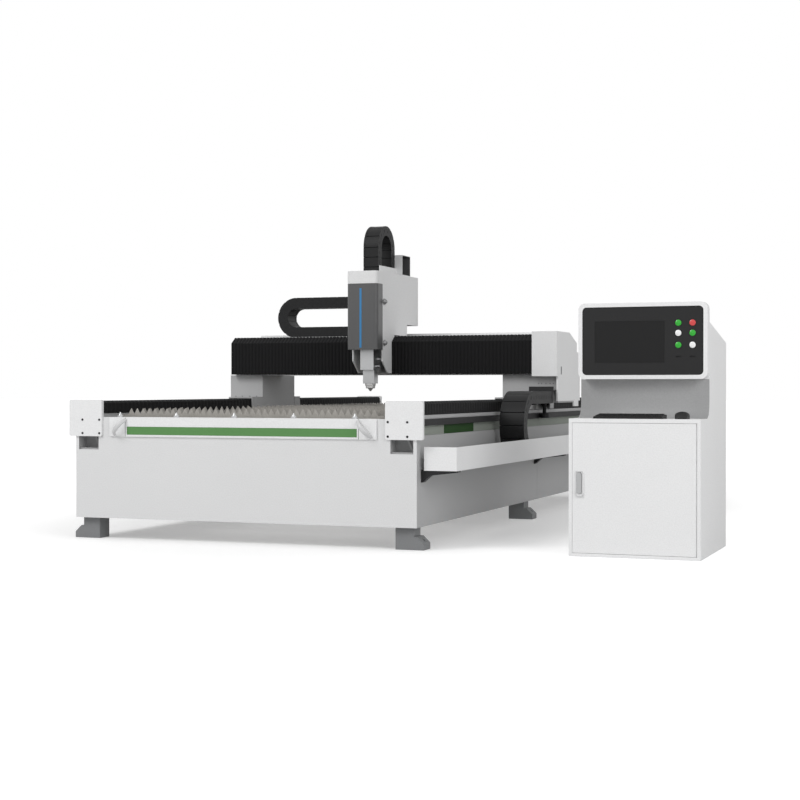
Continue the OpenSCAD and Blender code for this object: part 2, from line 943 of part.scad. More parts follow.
// Side outline of the carriage housing
module housing_side() {
    side_back_y = xbeam_y - cross_rail_h - 4;
    polygon([
        [house_front_y, car_top_z], [house_front_y, slant_z], [slant_y, plate_low_z],
        [side_back_y, plate_low_z], [side_back_y, skid_z], [step_y, skid_z], [step_y, step_z],
        [house_back_y, step_z], [house_back_y, car_top_z]
    ]);
}

// Plan of the front cap and cover, open at the back
module cover_plan(wall) {
    depth = house_front_y - cover_y;
    difference() {
        union() {
            translate([car_l, cover_y + cover_r]) square([car_w, depth - cover_r]);
            translate([car_l, cover_y]) round_rect(car_w, 2 * cover_r, cover_r);
        }
        translate([car_l + wall, cover_y + cover_r]) square([car_w - 2 * wall, depth]);
        translate([car_l + cover_r, cover_y + wall]) square([car_w - 2 * cover_r, depth]);
        for (x = [car_l + cover_r, car_r - cover_r])
            translate([x, cover_y + cover_r]) circle(cover_r - wall, $fn = fine);
    }
}

module carriage_housing() {
    slot = 4;
    color(white) {
        for (x = [car_l, car_r - car_t])
            along_x(x, x + car_t) housing_side();
        difference() {
            block([car_l, house_front_y, car_top_z - car_t], [car_r, house_back_y, car_top_z]);
            block([car_x - zchain_w / 2 - slot, zchain_front_y - slot, car_top_z - car_t - 1],
                  [car_x + zchain_w / 2 + slot, zchain_front_y + zchain_h + slot, car_top_z + 1]);
        }
        block([car_l, house_back_y - car_t, step_z], [car_r, house_back_y, car_top_z]);
        translate([0, 0, cover_top_z + fit])
            linear_extrude(car_top_z - cover_top_z - fit) cover_plan(car_t);
        translate([0, 0, car_top_z - car_t])
            linear_extrude(car_t) {
                translate([car_l, cover_y + cover_r]) square([car_w, house_front_y - cover_y - cover_r + 1]);
                translate([car_l, cover_y]) round_rect(car_w, 2 * cover_r, cover_r);
            }
    }
}

module carriage_cover() {
    wall = 4;
    color(grey)
        translate([0, 0, cover_bottom_z])
            linear_extrude(cover_top_z - cover_bottom_z) cover_plan(wall);
}

// Cable entry box behind the head chain, open on its right side
module cable_box() {
    wall = 3;
    front_y = zchain_y + zchain_r + fit;
    back_y = front_y + cable_box_d;
    top_z = car_top_z + cable_box_h;
    guide_h = 44;
    guide_x = car_x + zchain_w / 2 + 6;
    color(white) {
        difference() {
            block([car_x - zchain_w / 2, front_y, car_top_z], [car_r, back_y, top_z]);
            block([car_x - zchain_w / 2 + wall, front_y + wall, car_top_z + wall],
                  [car_r + 1, back_y - wall, top_z - wall]);
        }
        block([guide_x, zchain_front_y - 2, car_top_z], [guide_x + wall, front_y + 1, car_top_z + guide_h]);
    }
}

// A chain run standing along Z with its width along X and its height along Y
module chain_run_up(l, w, h) {
    rotate([0, -90, -90])
        chain_run(l, w, h);
}

module head_chain_lower() {
    color(graphite)
        translate([car_x - zchain_w / 2, zchain_y + zchain_r - zchain_h, car_top_z + fit])
            chain_run_up(zchain_mid_z - car_top_z - fit, zchain_w, zchain_h);
}

module head_chain_loop() {
    color(graphite)
        translate([car_x - zchain_w / 2, zchain_y, zchain_mid_z])
            rotate([90, 0, 90])
                rotate([0, 0, 180])
                    chain_turn(zchain_r, zchain_w, zchain_h);
}

module head_chain_upper() {
    color(graphite)
        translate([car_x - zchain_w / 2, zchain_front_y, zchain_low_z])
            chain_run_up(zchain_mid_z - zchain_low_z, zchain_w, zchain_h);
}

// Cutting head: slide plate, upper optics block, lower sensor block and gas fittings
module cutting_head() {
    plate_half = 78;
    plate_t = 14;
    back_y = plate_y - fit;
    block_half = 45;
    block_front_y = -300;
    block_back_y = -178;
    low_half = 38;
    low_front_y = -272;
    low_back_y = -204;
    block_z = 942;
    low_z = head_low_z;
    top_z = zchain_low_z;
    color(steel) {
        block([car_x - plate_half, back_y - plate_t, block_z + 40],
              [car_x + plate_half, back_y, top_z]);
        block([car_x - zchain_w / 2, zchain_front_y, top_z - 10],
              [car_x + zchain_w / 2, back_y, top_z]);
        difference() {
            block([car_x - block_half, block_front_y, block_z],
                  [car_x + block_half, block_back_y, cover_bottom_z + 40]);
            for (s = [-1, 1], z = [block_z - 1, cover_bottom_z + 41])
                translate([car_x + s * block_half, block_front_y, z])
                    rotate([0, 0, 45]) cube([6, 6, 3], center = true);
        }
        block([car_x - block_half + 15, block_back_y - 1, block_z + 60],
              [car_x + block_half - 15, back_y - plate_t + 1, cover_bottom_z]);
        block([car_x - low_half, low_front_y, low_z], [car_x + low_half, low_back_y, block_z + 1]);
        translate([car_x + block_half - 1, -215, block_z + 70])
            rotate([0, 90, 0]) {
                cylinder(h = 14, r = 13, $fn = 6);
                cylinder(h = 34, r = 8, $fn = fine);
            }
        translate([car_x + block_half - 1, -250, block_z + 24])
            rotate([0, 90, 0]) {
                cylinder(h = 12, r = 10, $fn = 6);
                cylinder(h = 26, r = 6, $fn = fine);
            }
        translate([car_x - low_half + 1, -238, low_z + 22])
            rotate([0, -90, 0])
                cylinder(h = 12, r = 9, $fn = fine);
    }
}

module nozzle() {
    drop = head_low_z - tip_z;
    color(steel)
        translate([car_x, -238, tip_z])
            difference() {
                rotate_extrude($fn = fine)
                    polygon([
                        [0, 0], [4, 0], [17, 18], [26, 18], [30, 22], [30, 34], [34, 36], [34, drop], [0, drop]
                    ]);
                translate([0, 0, -1]) cylinder(h = drop + 2, r = 1.5, $fn = fine);
            }
}

// Side outline of the console: a cabinet and a neck set back behind the desk, with a slanted top
module console_side() {
    polygon([
        [con_y, 0], [con_back_y, 0], [con_back_y, con_back_z], [neck_y, neck_top_z],
        [neck_y, desk_z + 60], [neck_y - 18, desk_z + 18], [neck_y - 60, desk_z],
        [con_y, desk_z]
    ]);
}

// Bent sheet of the desk and neck
module desk_sheet() {
    wall = 14;
    polygon([
        [con_y, desk_z - wall], [con_y, desk_z], [neck_y - 60, desk_z], [neck_y - 18, desk_z + 18],
        [neck_y, desk_z + 60], [neck_y, neck_top_z - 1], [neck_y + wall, neck_top_z - 2 * con_t],
        [neck_y + wall, desk_z - wall]
    ]);
}

module console_shell() {
    in_l = con_x + con_t - eps;
    in_r = con_r - con_t + eps;
    color(white) {
        for (x = [con_x, con_r - con_t])
            along_x(x, x + con_t) console_side();
        along_x(in_l, in_r) desk_sheet();
        block([in_l, con_back_y - con_t, 0], [in_r, con_back_y, con_back_z - con_t / 2]);
        block([in_l, con_y, 0], [in_r, con_back_y, frame_w]);
        block([in_l, con_y, frame_top_z], [in_r, con_y + door_t, desk_z - eps]);
        for (x = [con_x, con_r - frame_w])
            block([x, con_y, 0], [x + frame_w, con_y + door_t, desk_z - eps]);
        for (z = [frame_w - 1, frame_top_z - hinge_pin_h])
            translate([hinge_x, hinge_y, z]) cylinder(h = hinge_pin_h + 1, r = hinge_pin_r, $fn = fine);
        along_x(in_l, in_r)
            polygon([
                [con_back_y, con_back_z], [neck_y, neck_top_z], [neck_y, neck_top_z - con_t],
                [con_back_y, con_back_z - con_t]
            ]);
    }
}

// Screen housing: a round-cornered frame that carries the control panel
module screen_housing() {
    h = con_top_z - bezel_low_z;
    color(white)
        translate([con_x, 0, 0])
            difference() {
                along_y(bezel_y, bezel_y + bezel_d)
                    translate([0, bezel_low_z]) round_rect(con_w, h, bezel_r);
                along_y(bezel_y - 1, bezel_y + 12)
                    translate([panel_in, bezel_low_z + panel_in])
                        round_rect(con_w - 2 * panel_in, h - 2 * panel_in, bezel_r - 12);
                along_y(bezel_y + 11, bezel_y + bezel_d - 4)
                    translate([panel_in + 12, bezel_low_z + panel_in + 12])
                        square([con_w - 2 * panel_in - 24, h - 2 * panel_in - 24]);
            }
}

panel_x = con_x + panel_in + fit;
panel_w = con_w - 2 * panel_in - 2 * fit;
panel_h = con_top_z - bezel_low_z - 2 * panel_in - 2 * fit;
panel_z = bezel_low_z + panel_in + fit;
panel_y = bezel_y + 4;
panel_plate_t = 8;
screen_in = 63;
screen_x = panel_x + screen_in;
screen_right = 190.4;
screen_w = panel_w - screen_in - screen_right;
screen_z = panel_z + 60;
screen_h = 208;
button_in = 53;
button_dx = 70;
button_x = [panel_x + panel_w - button_in - button_dx, panel_x + panel_w - button_in];
button_up = [256, 206, 147];
button_z = [panel_z + button_up[0], panel_z + button_up[1], panel_z + button_up[2]];

module control_panel() {
    slot_w = 26;
    slot_h = 7;
    slot_z = panel_z + 90;
    color(black)
        difference() {
            along_y(panel_y, panel_y + panel_plate_t)
                translate([panel_x, panel_z]) round_rect(panel_w, panel_h, bezel_r - 12 - fit);
            block([screen_x, panel_y - 1, screen_z], [screen_x + screen_w, panel_y + 4, screen_z + screen_h]);
            for (x = button_x, z = button_z)
                translate([x, panel_y - 1, z])
                    rotate([-90, 0, 0])
                        cylinder(h = panel_plate_t + 2, r = button_r + slip, $fn = fine);
            for (x = button_x)
                block([x - slot_w / 2, panel_y - 1, slot_z - slot_h / 2],
                      [x + slot_w / 2, panel_y + 5, slot_z + slot_h / 2]);
        }
}

module display_screen() {
    color("#242527")
        block([screen_x + fit, panel_y + 1, screen_z + fit],
              [screen_x + screen_w - fit, panel_y + 4, screen_z + screen_h - fit]);
}

// One push button: a domed cap on a stem that runs in its panel hole
module push_button(i) {
    proud = 7;
    dome_r = 40;
    x = button_x[i % 2];
    z = button_z[floor(i / 2)];
    translate([x, panel_y - proud, z])
        rotate([-90, 0, 0])
            intersection() {
                cylinder(h = proud + panel_plate_t - 2, r = button_r, $fn = fine);
                translate([0, 0, dome_r]) sphere(dome_r, $fn = 2 * fine);
            }
}

green = "#28aa2c";
module button_1() {
    color(green) push_button(0);
}

module button_2() {
    color("#d24444") push_button(1);
}

module button_3() {
    color("white") push_button(2);
}

module button_4() {
    color(green) push_button(3);
}

module button_5() {
    color(green) push_button(4);
}

module button_6() {
    color("white") push_button(5);
}

lever_x = con_x + 54;
lever_z = 361;

module console_door() {
    top_z = frame_top_z - door_gap;
    low_z = frame_w + door_gap;
    side_in = frame_w + door_gap;
    lock_w = 42;
    lock_h = 128;
    color(white)
        difference() {
            union() {
                block([con_x + side_in, con_y, low_z], [hinge_x, con_y + door_t, top_z]);
                translate([hinge_x, hinge_y, low_z])
                    cylinder(h = top_z - low_z, r = door_t / 2, $fn = 2 * fine);
                translate([0, con_y - 6, 0])
                    along_y(0, 7)
                        translate([lever_x - lock_w / 2, lever_z - lock_h / 2])
                            round_rect(lock_w, lock_h, lock_w / 2);
            }
            translate([0, con_y - 7, 0])
                along_y(0, 7)
                    translate([lever_x - 13, lever_z - lock_h / 2 + 9]) round_rect(26, lock_h - 18, 13);
            block([con_x + side_in + 4, con_y + 4, low_z + 4],
                  [hinge_x - door_t, con_y + door_t + 1, top_z - 4]);
            for (z = [low_z - 1, top_z - hinge_pin_h])
                translate([hinge_x, hinge_y, z])
                    cylinder(h = hinge_pin_h + 1, r = hinge_pin_r + slip, $fn = fine);
        }
}

module door_lever() {
    color(shade)
        along_y(con_y - 10, con_y - fit)
            translate([lever_x - 12, lever_z - 53]) round_rect(24, 106, 12);
}

module keyboard() {
    key_rows = 5;
    key_cols = 15;
    key_in = 116;
    key_right = 190;
    w = con_w - key_in - key_right;
    d = 118;
    x = con_x + key_in;
    y = con_y + 26;
    pitch_x = (w - 16) / key_cols;
    pitch_y = (d - 16) / key_rows;
    color(graphite) {
        along_x(x, x + w)
            polygon([[y, desk_z], [y, desk_z + 10], [y + d, desk_z + 20], [y + d, desk_z]]);
        for (i = [0 : key_cols - 1], j = [0 : key_rows - 1])
            translate([x + 8 + i * pitch_x + 1.5, y + 8 + j * pitch_y + 1.5, desk_z + 9 + j * 1.75])
                cube([pitch_x - 3, pitch_y - 3, 8]);
    }
}

module mouse() {
    mouse_in = 101;
    mouse_y = 70;
    color(graphite)
        translate([con_r - mouse_in, con_y + mouse_y, desk_z])
            intersection() {
                translate([0, 0, -22]) sphere(58, $fn = 2 * fine);
                translate([-31, -52, 0]) linear_extrude(60) round_rect(62, 104, 26);
            }
}

front_panel();
rear_panel();
side_panel_left();
side_panel_right();
rail_beam_left();
rail_beam_right();
cross_tubes();
feet();
guide_rails();
drive_rack();
rail_end_caps();
cap_screws();
chain_tray();
tray_brackets();
bed_chain_lower();
bed_chain_loop();
bed_chain_upper();
bellows_front();
bellows_rear();
slat_carriers();
support_slats();
table_front_bar();
pull_handles();
bar_studs();
gantry_beam();
gantry_foot_left();
gantry_foot_right();
bearing_blocks();
drive_housing();
drive_pinion();
cross_rails();
chain_arm();
bellows_left();
bellows_right();
gantry_chain_lower();
gantry_chain_loop();
gantry_chain_upper();
carriage_frame();
carriage_housing();
carriage_cover();
cable_box();
head_chain_lower();
head_chain_loop();
head_chain_upper();
cutting_head();
nozzle();
console_shell();
screen_housing();
control_panel();
display_screen();
console_door();
door_lever();
keyboard();
mouse();
button_1();
button_2();
button_3();
button_4();
button_5();
button_6();
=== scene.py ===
"""Looks of a flat-bed laser cutting machine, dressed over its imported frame.

Lengths are metres in the part's own frame: X to the right, Y to the back, Z up from the floor.
"""
import json
from math import radians

import bmesh
import bpy
import numpy as np
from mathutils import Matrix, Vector


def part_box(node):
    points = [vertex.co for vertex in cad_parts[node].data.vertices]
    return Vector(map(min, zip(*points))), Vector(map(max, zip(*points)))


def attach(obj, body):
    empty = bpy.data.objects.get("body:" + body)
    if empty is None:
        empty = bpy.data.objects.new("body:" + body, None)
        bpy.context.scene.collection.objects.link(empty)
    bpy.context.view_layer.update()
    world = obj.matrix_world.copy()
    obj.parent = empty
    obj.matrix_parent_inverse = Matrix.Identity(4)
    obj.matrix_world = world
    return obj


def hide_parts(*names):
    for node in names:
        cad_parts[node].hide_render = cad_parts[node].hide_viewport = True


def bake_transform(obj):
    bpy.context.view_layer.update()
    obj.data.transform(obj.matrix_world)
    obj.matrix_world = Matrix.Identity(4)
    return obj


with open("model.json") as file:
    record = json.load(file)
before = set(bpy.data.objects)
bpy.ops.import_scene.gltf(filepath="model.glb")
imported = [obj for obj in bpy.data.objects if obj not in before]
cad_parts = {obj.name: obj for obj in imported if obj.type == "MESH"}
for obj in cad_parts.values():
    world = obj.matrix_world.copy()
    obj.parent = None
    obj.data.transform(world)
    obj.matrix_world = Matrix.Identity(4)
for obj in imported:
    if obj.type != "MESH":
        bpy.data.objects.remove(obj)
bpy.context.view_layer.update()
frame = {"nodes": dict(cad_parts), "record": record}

bl_info = {
    "name": "Laser cutting machine looks",
    "version": (1, 0, 0),
    "blender": (4, 5, 0),
    "location": "View3D > Sidebar > Laser cutter",
    "description": "Bellows, energy chains, trim and finishes of a flat-bed laser cutting machine",
    "category": "Object",
}

# Bellows: width and softened edge of a rail's skin, drop and depth of the slant on the beam, wall of the cloth
RAIL_SKIN_WIDTH, RAIL_SKIN_EDGE = 0.161, 0.010
BEAM_SLANT_DROP, BEAM_SLANT_DEPTH = 0.039, 0.055
CLOTH_WALL = 0.002
# Which way each point of a skin's outline goes with the depth of a pleat
RAIL_INWARD = np.array([[0.2, 0], [0.3, -0.4], [0.4, -1], [-0.4, -1], [-0.3, -0.4], [-0.2, 0]], float)
BEAM_INWARD = np.array([[0, 1], [1, 1], [1, -0.5], [0.5, -1], [0, -1]], float)

# Chain links: shares of the pitch or height, and depths from the link's faces
LINK_ENDS, BAR_ENDS, BOSS_RADIUS = (0.006, 0.994), (0.03, 0.97), 0.16
CHEEK_CORNER, CHEEK_OUTER, CHEEK_INNER, BOSS_RISE = 0.0035, 0.001, 0.014, 0.003
BAR_OUTER, BAR_INNER, BAR_SIDE = 0.001, 0.012, 0.012
CORE_DEPTH, CORE_SIDE = 0.016, 0.018
TURN_BENDS, UPPER_LENGTHS = 6, 4

# Stripe on the table's front bar: distance from its ends, heights above its lower edge, depths behind its front
STRIPE_INSET, STRIPE_LOW, STRIPE_HIGH = 0.109, 0.011, 0.054
STRIPE_FRONT, STRIPE_BACK = 0.0004, 0.0019
# Band along the right rail: heights, distance from the rail's ends, and the dark green length that paints a reflection
# on it
BAND_LOW_Z, BAND_HIGH_Z, BAND_END = 0.5835, 0.6315, 0.004
BAND_PROUD, REFLECTION_PROUD, REFLECTION_Y = 0.0008, 0.0014, (-1.65, -1.14)
# Screws of the rail's end caps and of the gantry's feet: profiles are (along, radius)
CAP_SCREW_STEP = 0.106
CAP_SCREW = ((0.0004, 0.0062), (-0.0012, 0.0062), (-0.0022, 0.0052), (-0.0022, 0.0030), (0.0002, 0.0026))
FOOT_SCREW = ((0.0004, 0.0040), (-0.0010, 0.0040), (-0.0016, 0.0034), (-0.0016, 0.0010))
# Front face of the gantry feet, behind the chain arm that their box takes in
FOOT_FRONT_Y = -0.070
RIGHT_SCREWS_X, RIGHT_SCREWS_Z = (1.073, 1.092, 1.120, 1.147, 1.168), 0.855
LEFT_SCREWS_X, LEFT_SCREWS_Z = (-1.037, -0.989, -0.933, -0.883), 0.771
# Pull handles and the seams beside them, whose dark strips paint the shade in the seams, from the bar's ends
HANDLE_INSET, HANDLE_LEAN, SEAM_INSET, SEAM_HALF = 0.066, radians(48), 0.099, 0.0015
# Plates inside the rail beams' ends: place along the bed, and from the beam's outer side and underside
END_PLATE_Y, END_PLATE_HALF = 2.0250, 0.001
END_PLATE_NEAR, END_PLATE_FAR, END_PLATE_LOW, END_PLATE_HIGH = 0.0185, 0.1415, 0.0085, 0.1685
# Slot in the drive housing's side, a dark strip that paints the shade in it
SLOT_HALF, SLOT_Y, SLOT_Z = 0.0006, (-0.0360, -0.0140), (0.9120, 0.9610)
# Rim round the door's lever: gap beside it, room for its swing below it, width
LEVER_GAP, LEVER_ROOM, LEVER_RIM = 0.0012, 0.0080, 0.0045
# Line and knobs of the carriage cover
LINE_X, LINE_FOOT, LINE_HEAD = -0.003, 0.012, 0.030
KNOB_Y, KNOBS_Z = -0.268, (1.376, 1.114)
KNOB = ((-0.001, 0.0120), (0.0030, 0.0120), (0.0032, 0.0185), (0.0045, 0.0195), (0.0060, 0.0195), (0.0190, 0.0105),
        (0.0210, 0.0080), (0.0215, 0.0060), (0.0208, 0.0030))

# Console's neck behind its front, and the cable box: depth of its opening and wall
NECK_BACK, BOX_DEPTH, BOX_WALL = 0.250, 0.150, 0.003

# Stage: lamps as name, place, aim, size and power; lift of the floor towards white; camera of the photo
LAMPS = (("key", (-4.5, -8.5, 7.5), (0.3, -0.6, 0.6), 5.0, 500), ("fill", (7.5, -6.0, 4.0), (0.6, -0.5, 0.6), 5.0, 215))
FLOOR_X, FLOOR_Y, FLOOR_Z = (-60, 60), (-30, 90), -0.0005
# Glow of the floor: weaker near the machine, so that it paints a darker floor there as shade
FLOOR_GLOW_SHADE = (("From Min", 1.3), ("From Max", 3.3), ("To Min", 0.26), ("To Max", 0.75))
WORLD_LIGHT, WORLD_WHITE = 0.46, 1.0
CAMERA_PLACE, CAMERA_TILT, CAMERA_TURN = (3.7143, -9.5404, 0.8275), radians(90 - 0.445), radians(20.652)
CAMERA_SENSOR_MM, CAMERA_LENS_MM = 36.0, 70.35


def tint(name, about, rgb):
    """A colour property."""
    return bpy.props.FloatVectorProperty(
        name=name, description=about, subtype="COLOR", size=3, min=0.0, max=1.0, default=rgb)


def length(name, about, metres):
    """A length property in metres."""
    return bpy.props.FloatProperty(name=name, description=about, default=metres, min=0.001, unit="LENGTH")


class CutterFinishes(bpy.types.PropertyGroup):
    """Colours of the machine's finishes."""
    white_coat: tint("White coat", "Textured powder coat of panels and housings", (0.80, 0.802, 0.805))
    # Painted shade: the greyer coat of the front panel stands in for the shade under the front bar's overhang
    front_shade_coat: tint("Front shade coat", "Slightly greyer coat of the front panel", (0.705, 0.707, 0.71))
    grey_coat: tint("Grey coat", "Coat of the side panels, beams and gantry feet", (0.44, 0.442, 0.445))
    foot_paint: tint("Foot paint", "Paint of the feet, tubes and slat carriers", (0.21, 0.215, 0.22))
    black_paint: tint("Black paint", "Paint of brackets and screws", (0.012, 0.012, 0.013))
    bellows_cloth: tint("Bellows cloth", "Coated cloth of the bellows", (0.0070, 0.0070, 0.0075))
    chain_nylon: tint("Chain nylon", "Moulded nylon of the energy chains", (0.0120, 0.0121, 0.0126))
    slat_steel: tint("Slat steel", "Bare strip of the slats", (0.36, 0.345, 0.32))
    bright_steel: tint("Bright steel", "Ground rails and blocks", (0.55, 0.55, 0.55))
    satin_metal: tint("Satin metal", "Anodised cutting head", (0.52, 0.525, 0.53))
    cover_grey: tint("Cover grey", "Dark front cover of the carriage", (0.092, 0.0925, 0.094))
    panel_black: tint("Panel black", "Control panel, keyboard and mouse", (0.0160, 0.0160, 0.0166))
    screen_black: tint("Screen black", "Display screen", (0.0125, 0.0125, 0.0130))
    band_green: tint("Band green", "Grey-green band along the rail's side", (0.300, 0.325, 0.290))
    # Painted reflection: the dark green length on the band stands in for a reflection of green
    reflection_green: tint("Reflection green", "Dark green length of the band", (0.012, 0.054, 0.007))
    stripe_green: tint("Stripe green", "Stripe along the table's front bar", (0.095, 0.246, 0.075))
    handle_grey: tint("Handle grey", "Moulded plastic of the pull handles", (0.60, 0.602, 0.605))
    plate_grey: tint("Plate grey", "Plates that close the rail beams inside their ends", (0.36, 0.36, 0.365))
    knob_grey: tint("Knob grey", "Turned knobs that hold the carriage cover", (0.26, 0.262, 0.266))
    # Painted shade: the grey of the neck sheet stands in for the shade under the screen housing's overhang
    neck_shade_grey: tint("Neck shade grey", "Coat of the console's neck", (0.37, 0.372, 0.375))
    # Painted shade: the dark sheet inside the cable box stands in for the shade in its opening
    box_shade_grey: tint("Box shade grey", "Dark painted shade of the cable box", (0.10, 0.10, 0.102))
    line_blue: tint("Line blue", "Line down the carriage cover", (0.042, 0.230, 0.490))
    rack_black: tint("Rack black", "Oiled steel of the rack and pinion", (0.022, 0.022, 0.023))
    nozzle_metal: tint("Nozzle metal", "Bright metal of the nozzle", (0.62, 0.62, 0.615))
    lens_green: tint("Green lens", "Lens of the green buttons", (0.021, 0.402, 0.025))
    lens_red: tint("Red lens", "Lens of the red button", (0.64, 0.058, 0.058))
    lens_white: tint("White lens", "Lens of the white buttons", (0.86, 0.86, 0.86))
    pale_floor: tint("Pale floor", "Floor of the stage", (0.80, 0.80, 0.80))


class CutterSizes(bpy.types.PropertyGroup):
    """Sizes of the dressed pieces."""
    bed_pleat: length("Bed pleat", "Length of one pleat of the bed bellows", 0.044)
    beam_pleat: length("Beam pleat", "Length of one pleat of the beam bellows", 0.024)
    pleat_depth: length("Pleat depth", "Depth of the pleats", 0.007)
    beam_depth: length("Beam pleat depth", "Depth of the pleats on the beam", 0.0045)
    link_pitch: length("Link pitch", "Length of a chain link", 0.060)
    sheet: length("Sheet", "Stand-off of thin sheets from the solids", 0.001)
    handle_half: length("Handle half length", "Half the length of a pull handle", 0.056)
    handle_rise: length("Handle rise", "Reach of a pull handle in front of the bar", 0.042)
    handle_wide: length("Handle width", "Width of a pull handle at its middle", 0.027)
    handle_thick: length("Handle thickness", "Thickness of a pull handle at its middle", 0.014)
    screw: length("Screw", "Diameter of the cap screws", 0.010)
    line_width: length("Line width", "Width of the blue line", 0.014)


def finishes():
    return bpy.context.scene.cutter_finishes


def sizes():
    return bpy.context.scene.cutter_sizes


def grain_group():
    """Shared effect: a base colour mottled by a broad noise and speckled by a fine one on Object coordinates."""
    if "Surface grain" in bpy.data.node_groups:
        return bpy.data.node_groups["Surface grain"]
    g = bpy.data.node_groups.new("Surface grain", "ShaderNodeTree")
    for name, kind, default in (("Base", "NodeSocketColor", (0.5, 0.5, 0.5, 1)),
                                ("Stretch", "NodeSocketVector", (1, 1, 1)), ("Scale", "NodeSocketFloat", 400.0),
                                ("Speckle", "NodeSocketFloat", 0.1), ("Mottle", "NodeSocketFloat", 0.05),
                                ("Roughness", "NodeSocketFloat", 0.5)):
        g.interface.new_socket(name, in_out="INPUT", socket_type=kind).default_value = default
    for name, kind in (("Color", "NodeSocketColor"), ("Roughness", "NodeSocketFloat"), ("Height", "NodeSocketFloat")):
        g.interface.new_socket(name, in_out="OUTPUT", socket_type=kind)
    new, link = g.nodes.new, g.links.new
    gin, gout = new("NodeGroupInput"), new("NodeGroupOutput")
    where = new("ShaderNodeTexCoord")
    turn = new("ShaderNodeMapping")
    link(where.outputs["Object"], turn.inputs["Vector"])
    link(gin.outputs["Stretch"], turn.inputs["Scale"])
    fine, broad = new("ShaderNodeTexNoise"), new("ShaderNodeTexNoise")
    fine.inputs["Detail"].default_value = 3
    broad.inputs["Scale"].default_value = 4.0
    broad.inputs["Detail"].default_value = 4
    link(turn.outputs["Vector"], fine.inputs["Vector"])
    link(gin.outputs["Scale"], fine.inputs["Scale"])
    link(turn.outputs["Vector"], broad.inputs["Vector"])

    def swing(noise, amount):
        """1 + (noise - 0.5) * amount."""
        centre, scaled = new("ShaderNodeMath"), new("ShaderNodeMath")
        centre.operation, scaled.operation = "SUBTRACT", "MULTIPLY_ADD"
        centre.inputs[1].default_value = 0.5
        link(noise.outputs[0], centre.inputs[0])
        link(centre.outputs[0], scaled.inputs[0])
        link(gin.outputs[amount], scaled.inputs[1])
        scaled.inputs[2].default_value = 1.0
        return scaled

    gain, tone, rough = new("ShaderNodeMath"), new("ShaderNodeVectorMath"), new("ShaderNodeMath")
    gain.operation, tone.operation, rough.operation = "MULTIPLY", "SCALE", "MULTIPLY"
    link(swing(fine, "Speckle").outputs[0], gain.inputs[0])
    link(swing(broad, "Mottle").outputs[0], gain.inputs[1])
    link(gin.outputs["Base"], tone.inputs[0])
    link(gain.outputs[0], tone.inputs["Scale"])
    link(gin.outputs["Roughness"], rough.inputs[0])
    link(gain.outputs[0], rough.inputs[1])
    link(tone.outputs["Vector"], gout.inputs["Color"])
    link(rough.outputs[0], gout.inputs["Roughness"])
    link(fine.outputs[0], gout.inputs["Height"])
    return g


def finish(name, rgb, rough, metal=0.0, scale=400.0, speckle=0.12, mottle=0.05, stretch=(1, 1, 1), relief=0.0004,
           coat=0.0, gloss=0.4):
    """A material from the surface grain: colour, roughness and relief vary over the surface."""
    if name in bpy.data.materials:
        return bpy.data.materials[name]
    m = bpy.data.materials.new(name)
    m.use_nodes = True
    new, link = m.node_tree.nodes.new, m.node_tree.links.new
    shader = m.node_tree.nodes["Principled BSDF"]
    grain, bump = new("ShaderNodeGroup"), new("ShaderNodeBump")
    grain.node_tree = grain_group()
    for key, value in (("Base", (*rgb, 1)), ("Stretch", stretch), ("Scale", scale), ("Speckle", speckle),
                       ("Mottle", mottle), ("Roughness", rough)):
        grain.inputs[key].default_value = value
    bump.inputs["Strength"].default_value = 0.5
    bump.inputs["Distance"].default_value = relief
    shader.inputs["Metallic"].default_value = metal
    shader.inputs["Coat Weight"].default_value = coat
    shader.inputs["Specular IOR Level"].default_value = gloss
    link(grain.outputs["Color"], shader.inputs["Base Color"])
    link(grain.outputs["Roughness"], shader.inputs["Roughness"])
    link(grain.outputs["Height"], bump.inputs["Height"])
    link(bump.outputs["Normal"], shader.inputs["Normal"])
    m.diffuse_color = (*rgb, 1)
    return m


def powder_coat(name, rgb):
    return finish(name, rgb, 0.55, scale=170, speckle=0.20, mottle=0.03, relief=0.0008)


def chain_nylon():
    return finish("Chain nylon", finishes().chain_nylon, 0.5, scale=260, speckle=0.2, mottle=0.15, gloss=0.2)


def bellows_cloth():
    return finish("Bellows cloth", finishes().bellows_cloth, 0.7, scale=700, speckle=0.35, mottle=0.3,
                  relief=0.0003, gloss=0.15)


def place(name, verts, faces, material, body=None, smooth=False):
    """A mesh object at the origin, with its material and the body it rides on."""
    mesh = bpy.data.meshes.new(name)
    mesh.from_pydata(verts, [], faces)
    mesh.materials.append(material)
    mesh.polygons.foreach_set("use_smooth", np.full(len(mesh.polygons), smooth))
    mesh.update()
    piece = bpy.data.objects.new(name, mesh)
    bpy.context.scene.collection.objects.link(piece)
    if body:
        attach(piece, body)
    return piece


def outward(piece):
    """Turn every face of closed parts outwards."""
    b = bmesh.new()
    b.from_mesh(piece.data)
    bmesh.ops.recalc_face_normals(b, faces=b.faces)
    b.to_mesh(piece.data)
    b.free()


def grid_faces(rows, cols, first=0):
    """Quads of a rows by cols grid of points."""
    i, j = np.meshgrid(np.arange(rows - 1), np.arange(cols - 1), indexing="ij")
    a = (first + i * cols + j).ravel()
    return np.stack([a, a + cols, a + cols + 1, a + 1], axis=1).tolist()


def tube_faces(rows, around):
    """Quads between the closed rings of a tube: rows rings of around points."""
    i, j = np.meshgrid(np.arange(rows - 1), np.arange(around), indexing="ij")
    k = (j + 1) % around
    return np.stack([i * around + j, i * around + k, (i + 1) * around + k, (i + 1) * around + j], -1).reshape(-1, 4)


